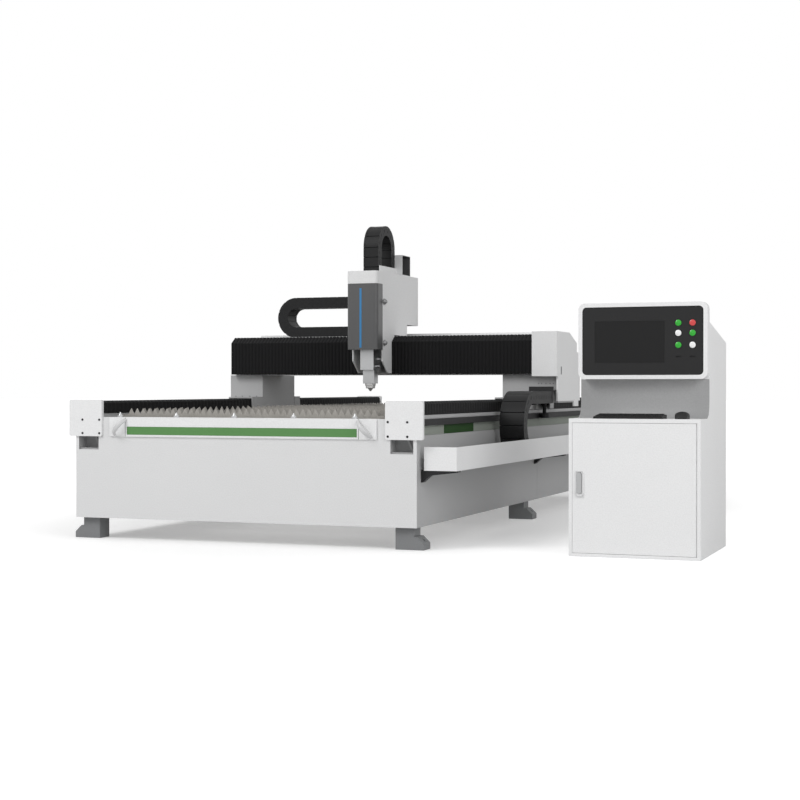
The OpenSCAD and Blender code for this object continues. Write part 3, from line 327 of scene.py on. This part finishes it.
def pleats(start, stop, pitch, depth, samples=8):
    """Stations along the travel and the depth there: a rounded zigzag, depth * (1 - |cos|^0.8)."""
    count = max(1, round(abs(stop - start) / pitch))
    t = np.linspace(0, count, count * samples + 1)
    return start + (stop - start) * t / count, depth * (1 - np.abs(np.cos(np.pi * t)) ** 0.8)


def pleated_skin(outline, inward, along, stations, depth):
    """An outline moved inward by the pleat depth at each station: point = outline + inward * depth."""
    flat = outline[None, :, :] + inward[None, :, :] * depth[:, None, None]
    line = np.broadcast_to(stations[:, None], flat.shape[:2])
    stack = (line, flat[..., 0], flat[..., 1]) if along == "x" else (flat[..., 0], line, flat[..., 1])
    return np.stack(stack, axis=-1)


def skin_piece(name, grids, flips):
    """Bellows sheets with a thin wall."""
    verts, faces = np.concatenate([g.reshape(-1, 3) for g in grids]), []
    first = 0
    for g, flip in zip(grids, flips):
        quads = grid_faces(g.shape[0], g.shape[1], first)
        faces += [q[::-1] for q in quads] if flip else quads
        first += g.shape[0] * g.shape[1]
    piece = place(name, verts, faces, bellows_cloth())
    wall = piece.modifiers.new("Cloth wall", "SOLIDIFY")
    wall.thickness, wall.offset = CLOTH_WALL, -1
    return piece


class CUTTER_OT_bellows(bpy.types.Operator):
    """Fold the bellows over the bed rails and along the gantry beam"""
    bl_idname = "cutter.bellows"
    bl_label = "Bellows"

    def execute(self, context):
        s = sizes()
        for node, at_gantry in (("bellows_front", "hi"), ("bellows_rear", "lo")):
            lo, hi = (np.array(c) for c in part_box(node))
            out, low, top, b = hi[0], lo[2], hi[2], RAIL_SKIN_EDGE
            inn = out - RAIL_SKIN_WIDTH
            outline = np.array([[inn, low], [inn, top - b], [inn + b, top], [out - b, top], [out, top - b],
                                [out, low]])
            y, d = pleats(lo[1], hi[1], s.bed_pleat, s.pleat_depth)
            right = pleated_skin(outline, RAIL_INWARD, "y", y, d)
            left = right * [-1, 1, 1]
            piece = skin_piece("rail_" + node, [right, left], [True, False])
            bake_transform(piece)
            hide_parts(node)
        for node, at_carriage in (("bellows_left", "hi"), ("bellows_right", "lo")):
            lo, hi = (np.array(c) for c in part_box(node))
            front, back, low, top = lo[1], hi[1], lo[2], hi[2]
            outline = np.array([[back, low], [front, low], [front, top - BEAM_SLANT_DROP],
                                [front + BEAM_SLANT_DEPTH, top], [back, top]])
            x, d = pleats(lo[0], hi[0], s.beam_pleat, s.beam_depth)
            piece = skin_piece("beam_" + node, [pleated_skin(outline, BEAM_INWARD, "x", x, d)], [False])
            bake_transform(piece)
            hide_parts(node)
        return {"FINISHED"}


def prism(profile, t0, t1):
    """A closed profile in (s, n) carried across the chain from t0 to t1."""
    k = len(profile)
    p = np.asarray(profile, float)
    verts = np.concatenate([np.column_stack([p, np.full(k, t0)]), np.column_stack([p, np.full(k, t1)])])
    faces = [list(range(k - 1, -1, -1)), list(range(k, 2 * k))]
    faces += [[i, (i + 1) % k, k + (i + 1) % k, k + i] for i in range(k)]
    return verts, faces


def strip(s0, s1, n0, n1, bends):
    """A closed band in (s, n): both long edges have bends + 1 points, so that it can follow a turn."""
    s = np.linspace(s0, s1, bends + 1)
    there, back = np.column_stack([s, np.full_like(s, n0)]), np.column_stack([s[::-1], np.full_like(s, n1)])
    return np.concatenate([there, back])


def link_shape(pitch, height, width, bends):
    """One chain link in (s, n, t): two cheek plates with pin bosses, two cross bars and the filling inside."""
    a, b, c = LINK_ENDS[0] * pitch, LINK_ENDS[1] * pitch, CHEEK_CORNER
    edge = strip(a + c, b - c, 0, height, bends)
    cheek = np.concatenate([[[a, c]], edge[:bends + 1], [[b, c], [b, height - c]], edge[bends + 1:],
                            [[a, height - c]]])
    turn = np.linspace(0, 2 * np.pi, 13)[:-1]
    boss = np.column_stack([0.5 * pitch + BOSS_RADIUS * height * np.cos(turn),
                            0.5 * height + BOSS_RADIUS * height * np.sin(turn)])
    parts = [prism(cheek, CHEEK_OUTER, CHEEK_INNER), prism(cheek, width - CHEEK_INNER, width - CHEEK_OUTER),
             prism(boss, 0.0, BOSS_RISE), prism(boss, width - BOSS_RISE, width)]
    for n0, n1 in ((BAR_OUTER, BAR_INNER), (height - BAR_INNER, height - BAR_OUTER)):
        bar = strip(BAR_ENDS[0] * pitch, BAR_ENDS[1] * pitch, n0, n1, bends)
        parts.append(prism(bar, BAR_SIDE, width - BAR_SIDE))
    parts.append(prism(strip(0, pitch, CORE_DEPTH, height - CORE_DEPTH, bends), CORE_SIDE, width - CORE_SIDE))
    verts, faces, first = [], [], 0
    for v, f in parts:
        verts.append(v)
        faces += [[i + first for i in q] for q in f]
        first += len(v)
    return np.concatenate(verts), faces


def chain_piece(name, node, run, height, width, to_space, bends=1):
    """Links set along the run and carried into space by to_space(s, n, t)."""
    count = max(1, round(run / sizes().link_pitch))
    base, faces = link_shape(run / count, height, width, bends)
    offset = np.arange(count)[:, None] * run / count
    s = base[None, :, 0] + offset
    n, t = (np.broadcast_to(base[None, :, i], s.shape) for i in (1, 2))
    verts = np.stack(to_space(s, n, t), axis=-1).reshape(-1, 3)
    every = [[i + k * len(base) for i in q] for k in range(count) for q in faces]
    piece = place(name, verts, every, chain_nylon())
    outward(piece)
    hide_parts(node)
    return piece


class CUTTER_OT_chains(bpy.types.Operator):
    """Build the three energy chains link by link"""
    bl_idname = "cutter.chains"
    bl_label = "Energy chains"

    def execute(self, context):
        def corners(node):
            return [np.array(c, float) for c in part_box(node)]

        def half_turn(node, axis, h):
            """Outer radius and middle of a loop on an axis, and the length of its middle line."""
            low, high = corners(node)
            radius = (high[axis] - low[axis]) / 2
            return radius, (high[axis] + low[axis]) / 2, np.pi * (radius - h / 2)

        # Bed chain: runs along Y, width along X
        lo, hi = corners("bed_chain_lower")
        w, h, y0 = hi[0] - lo[0], hi[2] - lo[2], lo[1]
        low = chain_piece("bed_chain_lower_run", "bed_chain_lower", hi[1] - lo[1], h, w,
                          lambda s, n, t: (lo[0] + t, y0 + s, lo[2] + n))
        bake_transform(low)
        r, mid, arc = half_turn("bed_chain_loop", 2, h)
        loop = chain_piece("bed_chain_turn", "bed_chain_loop", arc, h, w, lambda s, n, t: (
            lo[0] + t, y0 - (r - n) * np.sin(s / arc * np.pi), mid - (r - n) * np.cos(s / arc * np.pi)),
            bends=TURN_BENDS)
        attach(loop, "bed_loop")
        l3, h3 = corners("bed_chain_upper")
        # The upper run closes up almost wholly, so it is set in lengths whose shares of the travel rise evenly
        share, at = np.linspace(0.5, 1, UPPER_LENGTHS + 1), np.linspace(l3[1], h3[1], UPPER_LENGTHS + 1)
        for i in range(UPPER_LENGTHS):
            up = chain_piece("bed_chain_upper_run_%d" % (i + 1), "bed_chain_upper", at[1] - at[0], h, w,
                             lambda s, n, t: (lo[0] + t, at[i] + s, h3[2] - n))
            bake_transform(up)
        # Gantry chain: runs along X, width along Y
        lo, hi = corners("gantry_chain_lower")
        w, h, x0 = hi[1] - lo[1], hi[2] - lo[2], lo[0]
        low = chain_piece("gantry_chain_lower_run", "gantry_chain_lower", hi[0] - lo[0], h, w,
                          lambda s, n, t: (x0 + s, lo[1] + t, lo[2] + n))
        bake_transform(low)
        r, mid, arc = half_turn("gantry_chain_loop", 2, h)
        loop = chain_piece("gantry_chain_turn", "gantry_chain_loop", arc, h, w, lambda s, n, t: (
            x0 - (r - n) * np.sin(s / arc * np.pi), lo[1] + t, mid - (r - n) * np.cos(s / arc * np.pi)),
            bends=TURN_BENDS)
        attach(loop, "gantry_loop")
        l3, h3 = corners("gantry_chain_upper")
        up = chain_piece("gantry_chain_upper_run", "gantry_chain_upper", h3[0] - l3[0], h, w,
                         lambda s, n, t: (l3[0] + s, lo[1] + t, h3[2] - n))
        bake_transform(up)
        # Head chain: runs along Z, width along X, bends over at the top
        lo, hi = corners("head_chain_lower")
        w, h, z1 = hi[0] - lo[0], hi[1] - lo[1], hi[2]
        low = chain_piece("head_chain_back_run", "head_chain_lower", hi[2] - lo[2], h, w,
                          lambda s, n, t: (lo[0] + t, hi[1] - n, lo[2] + s))
        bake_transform(low)
        r, mid, arc = half_turn("head_chain_loop", 1, h)
        loop = chain_piece("head_chain_turn", "head_chain_loop", arc, h, w, lambda s, n, t: (
            lo[0] + t, mid + (r - n) * np.cos(s / arc * np.pi), z1 + (r - n) * np.sin(s / arc * np.pi)),
            bends=TURN_BENDS)
        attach(loop, "head_loop")
        l3, h3 = corners("head_chain_upper")
        up = chain_piece("head_chain_front_run", "head_chain_upper", h3[2] - l3[2], h, w,
                         lambda s, n, t: (lo[0] + t, l3[1] + n, l3[2] + s))
        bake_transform(up)
        return {"FINISHED"}


def plate(name, low, high, bevel, material, body):
    """A flat plate with a softened rim: low + corner * (high - low) for its eight corners, then a bevel."""
    low, high = np.array(low, float), np.array(high, float)
    corner = np.array([[0, 0, 0], [1, 0, 0], [1, 1, 0], [0, 1, 0], [0, 0, 1], [1, 0, 1], [1, 1, 1], [0, 1, 1]])
    faces = [[0, 3, 2, 1], [4, 5, 6, 7], [0, 1, 5, 4], [1, 2, 6, 5], [2, 3, 7, 6], [3, 0, 4, 7]]
    piece = place(name, low + corner * (high - low), faces, material, body)
    soft = piece.modifiers.new("Rim", "BEVEL")
    soft.width, soft.segments = bevel, 2
    return piece


def turned(name, centre, axis, profile, material, body, around=32):
    """A turned piece: profile points (along, radius) swept round an axis ('x' or 'y')."""
    p = np.asarray(profile, float)
    a = np.linspace(0, 2 * np.pi, around + 1)[:-1]
    along = np.broadcast_to(p[:, :1], (len(p), around))
    c, s = p[:, 1:] * np.cos(a), p[:, 1:] * np.sin(a)
    v = np.stack((along, c, s) if axis == "x" else (c, along, s), axis=-1).reshape(-1, 3) + np.array(centre)
    faces = tube_faces(len(p), around).tolist()
    faces += [list(range(around)), list(range((len(p) - 1) * around, len(p) * around))]
    piece = place(name, v, faces, material, body)
    outward(piece)
    return piece


def rim(name, low, high, width, material, body):
    """A flat rim round the opening from low to high in X and Z, from low to high in Y."""
    x, z = np.array([low[0], high[0], high[0], low[0]]), np.array([low[2], low[2], high[2], high[2]])
    grow = np.array([[-1, -1], [1, -1], [1, 1], [-1, 1]]) * width
    rings = [np.stack([x + grow[:, 0] * out, np.full(4, y), z + grow[:, 1] * out], -1)
             for y in (low[1], high[1]) for out in (1, 0)]
    k = np.arange(4)
    n = (k + 1) % 4
    faces = np.concatenate([np.stack(f, -1) for f in ((k, n, 4 + n, 4 + k), (8 + k, 12 + k, 12 + n, 8 + n),
                                                      (k, 8 + k, 8 + n, n), (4 + k, 4 + n, 12 + n, 12 + k))])
    piece = place(name, np.concatenate(rings), faces.tolist(), material, body)
    outward(piece)
    return piece


def bow_handle(name, centre, lean, s, material):
    """Moulded bows: an oval section carried along the arch n = rise * (1 - |u|^2.6), wider and thicker at its middle.

    u runs along the handle from -1 to 1, v across it on the bar's face and n out to the front.
    """
    u, a = np.linspace(-1, 1, 41), np.linspace(0, 2 * np.pi, 25)[:-1]
    rise = s.handle_rise - s.handle_thick / 2
    n = rise * (1 - np.abs(u) ** 2.6)
    step = np.stack([np.gradient(u * s.handle_half), np.gradient(n)], -1)
    step /= np.linalg.norm(step, axis=1, keepdims=True)
    middle = 1 - u ** 2
    wide = s.handle_wide / 2 * (0.62 + 0.38 * middle)
    thick = s.handle_thick / 2 * (0.70 + 0.30 * middle)
    lift = np.sin(a)[None, :] * thick[:, None]
    along = u[:, None] * s.handle_half - step[:, 1:] * lift
    out = np.maximum(n[:, None] + step[:, :1] * lift, 0.0)
    across = np.cos(a)[None, :] * wide[:, None]
    points, faces = [], []
    rows, around = across.shape
    quads = tube_faces(rows, around)
    ends = [np.arange(around), np.arange(around) + (rows - 1) * around]
    for side in (-1, 1):
        c, d = np.cos(lean) * side, -np.sin(lean)
        x = side * centre[0] + along * c + across * -d * side
        z = centre[2] + along * d + across * np.cos(lean)
        points.append(np.stack([x, centre[1] - out, z], -1).reshape(-1, 3))
        first = len(points[:-1]) * rows * around
        faces += (quads + first).tolist() + [(e + first).tolist() for e in ends]
    piece = place(name, np.concatenate(points), faces, material, "table", True)
    outward(piece)
    return piece


def stripes(f):
    """The green stripe on the table's front bar and the coloured band along the right rail, with a dark green length
    that paints a reflection of green.
    """
    lo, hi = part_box("table_front_bar")
    green = finish("Green stripe paint", f.stripe_green, 0.5, scale=300, speckle=0.15)
    stripe = plate("table_green_stripe", (lo[0] + STRIPE_INSET, lo[1] + STRIPE_FRONT, lo[2] + STRIPE_LOW),
                   (hi[0] - STRIPE_INSET, lo[1] + STRIPE_BACK, lo[2] + STRIPE_HIGH), 0.0004, green, "table")
    lo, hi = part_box("rail_beam_right")
    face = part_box("drive_rack")[0][0]
    # The second plate is a painted reflection: a dark green length on the band
    for name, colour, y0, y1, proud in (
            ("rail_side_band", f.band_green, lo[1] + BAND_END, hi[1] - BAND_END, BAND_PROUD),
            ("rail_green_patch", f.reflection_green, *REFLECTION_Y, REFLECTION_PROUD)):
        paint = finish(name.replace("_", " ").capitalize(), colour, 0.6, scale=200, speckle=0.15, mottle=0.08,
                       gloss=0.12)
        band = plate(name, (face, y0, BAND_LOW_Z), (face + proud, y1, BAND_HIGH_Z), 0.0003, paint, "bed")


def cap_screws(f, s):
    """The screw heads on the two front end caps."""
    black = finish("Black paint", f.black_paint, 0.4, scale=300, speckle=0.2)
    lo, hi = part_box("cap_screws")
    front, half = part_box("rail_end_caps")[0][1], s.screw / 2
    x = [side * (hi[0] - half - step) for side in (-1, 1) for step in (0.0, CAP_SCREW_STEP)]
    heads = [(a, front, b) for a in x for b in (lo[2] + half, hi[2] - half)]
    for i, at in enumerate(heads):
        head = turned("cap_screw_head_%d" % (i + 1), at, "y", CAP_SCREW, black, "bed", 24)


def bar_trim(f, s, shadow):
    """The pull handles on the table's front bar and the dark strips that paint the shade in the seams beside them."""
    lo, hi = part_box("table_front_bar")
    plastic = finish("Handle plastic", f.handle_grey, 0.35, scale=300, speckle=0.08, mottle=0.05, gloss=0.5)
    middle = (hi[0] - HANDLE_INSET, lo[1], (lo[2] + hi[2]) / 2)
    bows = bow_handle("table_pull_bows", middle, HANDLE_LEAN, s, plastic)
    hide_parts("pull_handles")
    for i, side in enumerate((-1, 1)):
        mid = side * (hi[0] - SEAM_INSET)
        seam = plate("bar_seam_shade_%d" % (i + 1), (mid - SEAM_HALF, lo[1] - 0.0003, lo[2] + 0.0005),
                     (mid + SEAM_HALF, lo[1] + 0.0012, hi[2] - 0.0005), 0.0002, shadow, "table")


def beam_plates(f):
    """The plates that close the rail beams inside their ends."""
    inside = finish("Beam end plate", f.plate_grey, 0.6, scale=170, speckle=0.25, mottle=0.1, gloss=0.2)
    for node in ("rail_beam_left", "rail_beam_right"):
        lo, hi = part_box(node)
        x0, x1 = ((lo[0] + END_PLATE_NEAR, lo[0] + END_PLATE_FAR) if lo[0] < 0 else
                  (hi[0] - END_PLATE_FAR, hi[0] - END_PLATE_NEAR))
        for end, y in (("front", -END_PLATE_Y), ("rear", END_PLATE_Y)):
            closing = plate("%s_%s_plate" % (node, end), (x0, y - END_PLATE_HALF, lo[2] + END_PLATE_LOW),
                            (x1, y + END_PLATE_HALF, lo[2] + END_PLATE_HIGH), 0.0004, inside, "bed")


def gantry_trim(shadow):
    """A dark strip that paints the shade of the slot in the drive housing's side, and the screws on the gantry's feet.
    """
    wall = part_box("drive_housing")[1][0]
    slot = plate("drive_housing_slot_shade", (wall - SLOT_HALF, SLOT_Y[0], SLOT_Z[0]),
                 (wall + SLOT_HALF, SLOT_Y[1], SLOT_Z[1]), 0.0002, shadow, "gantry")
    screws = [(x, FOOT_FRONT_Y, RIGHT_SCREWS_Z) for x in RIGHT_SCREWS_X]
    screws += [(x, FOOT_FRONT_Y, LEFT_SCREWS_Z) for x in LEFT_SCREWS_X]
    for i, at in enumerate(screws):
        screw = turned("foot_screw_%d" % (i + 1), at, "y", FOOT_SCREW, shadow, "gantry", 20)


def lever_rim(f):
    """The rim round the lever on the console's door."""
    lo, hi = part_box("door_lever")
    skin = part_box("console_door")[0][1]
    coat = finish("Lever rim coat", f.handle_grey, 0.5, scale=170, speckle=0.15)
    rose = rim("door_lever_rim", (lo[0] - LEVER_GAP, skin - 0.0012, lo[2] - LEVER_ROOM),
               (hi[0] + LEVER_GAP, skin + 0.0004, hi[2] + LEVER_GAP), LEVER_RIM, coat, "door")


def cover_trim(f, s):
    """The blue line down the carriage cover and the two knobs that hold it."""
    lo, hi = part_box("carriage_cover")
    blue = finish("Blue line film", f.line_blue, 0.35, scale=300, speckle=0.08)
    line = plate("cover_blue_line", (LINE_X - s.line_width / 2, lo[1] - 0.0008, lo[2] + LINE_FOOT),
                 (LINE_X + s.line_width / 2, lo[1] + 0.0004, hi[2] - LINE_HEAD), 0.0003, blue, "carriage")
    satin = finish("Knob metal", f.knob_grey, 0.38, metal=0.3, scale=450, speckle=0.2, mottle=0.1,
                   stretch=(1, 0.1, 0.1), relief=0.0001)
    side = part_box("carriage_housing")[1][0]
    for i, z in enumerate(KNOBS_Z):
        knob = turned("cover_knob_%d" % (i + 1), (side, KNOB_Y, z), "x", KNOB, satin, "carriage")


class CUTTER_OT_trim(bpy.types.Operator):
    """Add the small pieces: stripes, screws, handles, seams, end plates, slot, lever rim, blue line and knobs"""
    bl_idname = "cutter.trim"
    bl_label = "Trim"

    def execute(self, context):
        f, s = finishes(), sizes()
        # Dark paint: painted shade in the seams and the slot, and the real paint of the foot screws
        shadow = finish("Seam shade and screw paint", f.foot_paint, 0.7, scale=300, speckle=0.2, gloss=0.1)
        stripes(f)
        cap_screws(f, s)
        bar_trim(f, s, shadow)
        beam_plates(f)
        gantry_trim(shadow)
        lever_rim(f)
        cover_trim(f, s)
        return {"FINISHED"}


def rounded(line, times=3):
    """Corner cutting: each corner gives way to the points 1/4 and 3/4 along its sides, and the ends stay."""
    p = np.asarray(line, float)
    for _ in range(times):
        cut = np.stack([0.75 * p[:-1] + 0.25 * p[1:], 0.25 * p[:-1] + 0.75 * p[1:]], axis=1).reshape(-1, 2)
        p = np.concatenate([p[:1], cut, p[-1:]])
    return p


def lining(name, grid, thick, material, body, smooth=False):
    """A thin sheet on a grid of points, thickened behind its face."""
    piece = place(name, grid.reshape(-1, 3), grid_faces(grid.shape[0], grid.shape[1]), material, body, smooth)
    wall = piece.modifiers.new("Sheet wall", "SOLIDIFY")
    wall.thickness, wall.offset = thick, -1
    return piece


class CUTTER_OT_sheets(bpy.types.Operator):
    """Lay the grey sheet that paints shade on the console's neck and the dark sheet that paints shade in the cable box
    """
    bl_idname = "cutter.sheets"
    bl_label = "Sheets"

    def execute(self, context):
        f, s = finishes(), sizes()
        # Neck: desk, rounded foot and upright, carried along X just in front of the bent sheet; its grey paints the
        # shade under the screen housing's overhang
        lo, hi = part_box("console_shell")
        neck, desk = lo[1] + NECK_BACK - s.sheet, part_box("keyboard")[0][2] + s.sheet
        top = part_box("screen_housing")[0][2]
        line = rounded([(neck - 0.072, desk), (neck - 0.060, desk), (neck - 0.018, desk + 0.018), (neck, desk + 0.060),
                        (neck, top - 0.0005)])
        x = np.array([lo[0] + 0.0006, hi[0] - 0.0006])
        across = np.broadcast_to(x[:, None], (2, len(line)))
        grid = np.stack([across, *np.broadcast_to(line.T[:, None, :], (2, 2, len(line)))], -1)
        # Grey sheet colour: painted shade under the screen housing's overhang
        coat = finish("Neck painted shade", f.neck_shade_grey, 0.6, scale=170, speckle=0.30, mottle=0.05, relief=0.0008)
        neck_sheet = lining("console_neck_sheet", grid, 0.6 * s.sheet, coat, "bed", True)
        # Cable box: a dark sheet that paints the shade inside its opening, four walls as a closed band along X and a
        # square end
        lo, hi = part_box("cable_box")
        gap = BOX_WALL + s.sheet
        y0, y1, z0, z1 = hi[1] - BOX_DEPTH + gap, hi[1] - gap, lo[2] + gap, hi[2] - gap
        ring = np.array([[y0, z0], [y1, z0], [y1, z1], [y0, z1], [y0, z0]])
        middle = np.broadcast_to([[(y0 + y1) / 2, (z0 + z1) / 2]], ring.shape)
        rows = [(hi[0] - 0.001, ring), (lo[0] + gap, ring), (lo[0] + gap, middle)]
        grid = np.stack([np.column_stack([np.full(5, at), r]) for at, r in rows])
        # Dark colour: painted shade inside the cable box's opening
        dark = finish("Dark painted shade", f.box_shade_grey, 0.6, scale=90, speckle=0.5, mottle=0.2, gloss=0.2)
        box_shade_sheet = lining("cable_box_shade_sheet", grid, 0.6 * s.sheet, dark, "carriage")
        return {"FINISHED"}


class CUTTER_OT_finishes(bpy.types.Operator):
    """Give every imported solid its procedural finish"""
    bl_idname = "cutter.finishes"
    bl_label = "Finishes"

    def execute(self, context):
        f = finishes()
        by_slot = {
            "white_paint": powder_coat("White powder coat", f.white_coat),
            "grey_white_paint": finish("Grey powder coat", f.grey_coat, 0.55, scale=170, speckle=0.22, relief=0.0008),
            "grey_paint": finish("Foot paint", f.foot_paint, 0.5, scale=250, speckle=0.15, mottle=0.12),
            "bright_steel": finish("Ground steel", f.bright_steel, 0.28, metal=1.0, scale=500, speckle=0.15,
                                   mottle=0.06, stretch=(1, 0.05, 1), relief=0.0001),
            "rack_steel": finish("Rack steel", f.rack_black, 0.55, scale=300, speckle=0.3, mottle=0.2,
                                 stretch=(0.05, 1, 0.05), relief=0.001, gloss=0.15),
            "black_steel": finish("Black paint", f.black_paint, 0.4, scale=300, speckle=0.2),
            "slat_steel": finish("Slat steel", f.slat_steel, 0.42, metal=0.75, scale=220, speckle=0.35, mottle=0.35,
                                 stretch=(1, 1, 0.25), relief=0.0003),
            "chain_plastic": chain_nylon(),
            "bellows_cloth": bellows_cloth(),
            "dark_cover_paint": finish("Dark cover paint", f.cover_grey, 0.42, scale=380, speckle=0.1, mottle=0.06,
                                       coat=0.15),
            "satin_aluminium": finish("Satin aluminium", f.satin_metal, 0.33, metal=1.0, scale=450, speckle=0.12,
                                      stretch=(0.1, 0.1, 1), relief=0.0001),
            "nozzle_metal": finish("Nozzle metal", f.nozzle_metal, 0.42, metal=0.55, speckle=0.1,
                                   stretch=(1, 1, 0.1), relief=0.0001),
            "panel_black": finish("Panel plastic", f.panel_black, 0.5, scale=500, speckle=0.15, gloss=0.25),
            "screen_glass": finish("Screen", f.screen_black, 0.3, scale=60, speckle=0.03, mottle=0.03,
                                   relief=0.00001, gloss=0.2),
            "button_green": finish("Green lens", f.lens_green, 0.2, scale=200, speckle=0.08, coat=0.4),
            "button_red": finish("Red lens", f.lens_red, 0.2, scale=200, speckle=0.08, coat=0.4),
            "button_white": finish("White lens", f.lens_white, 0.2, scale=200, speckle=0.05, coat=0.4),
        }
        special = {
            "drive_pinion": by_slot["rack_steel"],
            # Front panel: greyer coat as painted shade under the bar's overhang
            "front_panel": powder_coat("Front panel painted shade", f.front_shade_coat),
            "bar_studs": finish("Stud metal", f.satin_metal, 0.35, metal=0.8, speckle=0.15, mottle=0.08,
                                stretch=(1, 1, 0.1), relief=0.0001),
        }
        slot_of = {p["node"]: p["material_slot"] for p in frame["record"]["subparts"]}
        for node, piece in frame["nodes"].items():
            for solid in piece if isinstance(piece, (list, tuple)) else [piece]:
                solid.data.materials.clear()
                solid.data.materials.append(special.get(node, by_slot[slot_of[node]]))
        return {"FINISHED"}


def glow_floor_with_shade(pale):
    """Lift the floor to the white backdrop for the camera alone, more the farther it lies from the machine; the weaker
    glow near the machine paints a darker floor there as shade.
    """
    new, link = pale.node_tree.nodes.new, pale.node_tree.links.new
    where, squeeze, reach, far, rays, level = (
        new("ShaderNode" + k) for k in ("TexCoord", "Mapping", "VectorMath", "MapRange", "LightPath", "Math"))
    squeeze.inputs["Scale"].default_value = (1, 0.5, 1)
    reach.operation, level.operation = "LENGTH", "MULTIPLY"
    for key, value in FLOOR_GLOW_SHADE:
        far.inputs[key].default_value = value
    link(where.outputs["Object"], squeeze.inputs["Vector"])
    link(squeeze.outputs["Vector"], reach.inputs[0])
    link(reach.outputs["Value"], far.inputs["Value"])
    link(far.outputs["Result"], level.inputs[0])
    link(rays.outputs["Is Camera Ray"], level.inputs[1])
    shader = pale.node_tree.nodes["Principled BSDF"]
    shader.inputs["Emission Color"].default_value = (1, 1, 1, 1)
    link(level.outputs[0], shader.inputs["Emission Strength"])


class CUTTER_OT_stage(bpy.types.Operator):
    """Set the floor, the lights, the world and the camera"""
    bl_idname = "cutter.stage"
    bl_label = "Stage"

    def execute(self, context):
        scene = context.scene
        u, v = np.meshgrid(np.linspace(*FLOOR_X, 3), np.linspace(*FLOOR_Y, 3), indexing="ij")
        points = np.stack([u, v, np.full_like(u, FLOOR_Z)], -1).reshape(-1, 3)
        pale = finish("Pale floor", finishes().pale_floor, 0.9, scale=20, speckle=0.01, mottle=0.01, relief=0.0001)
        glow_floor_with_shade(pale)
        floor = place("floor", points, grid_faces(3, 3), pale)
        outward(floor)
        world = bpy.data.worlds.new("Studio")
        scene.world = world
        world.use_nodes = True
        new, link = world.node_tree.nodes.new, world.node_tree.links.new
        back = world.node_tree.nodes["Background"]
        back.inputs["Color"].default_value = (1, 1, 1, 1)
        rays, seen, more, level = (new("ShaderNode" + k) for k in ("LightPath", "Math", "Math", "MapRange"))
        seen.operation = more.operation = "MAXIMUM"
        link(rays.outputs["Is Camera Ray"], seen.inputs[0])
        link(rays.outputs["Is Glossy Ray"], seen.inputs[1])
        link(seen.outputs[0], more.inputs[0])
        link(rays.outputs["Is Transmission Ray"], more.inputs[1])
        link(more.outputs[0], level.inputs["Value"])
        level.inputs["To Min"].default_value = WORLD_LIGHT
        level.inputs["To Max"].default_value = WORLD_WHITE
        link(level.outputs["Result"], back.inputs["Strength"])
        for name, spot, aim, size, power in LAMPS:
            lamp = bpy.data.lights.new(name, "AREA")
            lamp.size, lamp.energy = size, power
            light = bpy.data.objects.new(name, lamp)
            light.location = spot
            light.rotation_euler = (Vector(aim) - Vector(spot)).to_track_quat("-Z", "Y").to_euler()
            scene.collection.objects.link(light)
        lens = bpy.data.cameras.new("photo_camera")
        lens.sensor_width, lens.lens = CAMERA_SENSOR_MM, CAMERA_LENS_MM
        camera = bpy.data.objects.new("photo_camera", lens)
        camera.location = CAMERA_PLACE
        camera.rotation_euler = (CAMERA_TILT, 0, CAMERA_TURN)
        scene.collection.objects.link(camera)
        scene.camera = camera
        scene.view_settings.view_transform = "Standard"
        return {"FINISHED"}


class CUTTER_PT_panel(bpy.types.Panel):
    """Sidebar buttons for the steps, and the fields of the finishes and sizes"""
    bl_idname = "CUTTER_PT_panel"
    bl_label = "Laser cutter"
    bl_space_type = "VIEW_3D"
    bl_region_type = "UI"
    bl_category = "Laser cutter"

    def draw(self, context):
        for step in STEPS:
            self.layout.operator("cutter." + step)
        for group in (context.scene.cutter_finishes, context.scene.cutter_sizes):
            for key in group.__annotations__:
                self.layout.prop(group, key)


STEPS = ("finishes", "bellows", "chains", "trim", "sheets", "stage")
CLASSES = (CutterFinishes, CutterSizes, CUTTER_OT_finishes, CUTTER_OT_bellows, CUTTER_OT_chains,
           CUTTER_OT_trim, CUTTER_OT_sheets, CUTTER_OT_stage, CUTTER_PT_panel)


def register():
    for kind in CLASSES:
        bpy.utils.register_class(kind)
    bpy.types.Scene.cutter_finishes = bpy.props.PointerProperty(type=CutterFinishes)
    bpy.types.Scene.cutter_sizes = bpy.props.PointerProperty(type=CutterSizes)


def unregister():
    del bpy.types.Scene.cutter_sizes
    del bpy.types.Scene.cutter_finishes
    for kind in reversed(CLASSES):
        bpy.utils.unregister_class(kind)


def main():
    register()
    for step in STEPS:
        getattr(bpy.ops.cutter, step)()


if __name__ == "__main__":
    main()
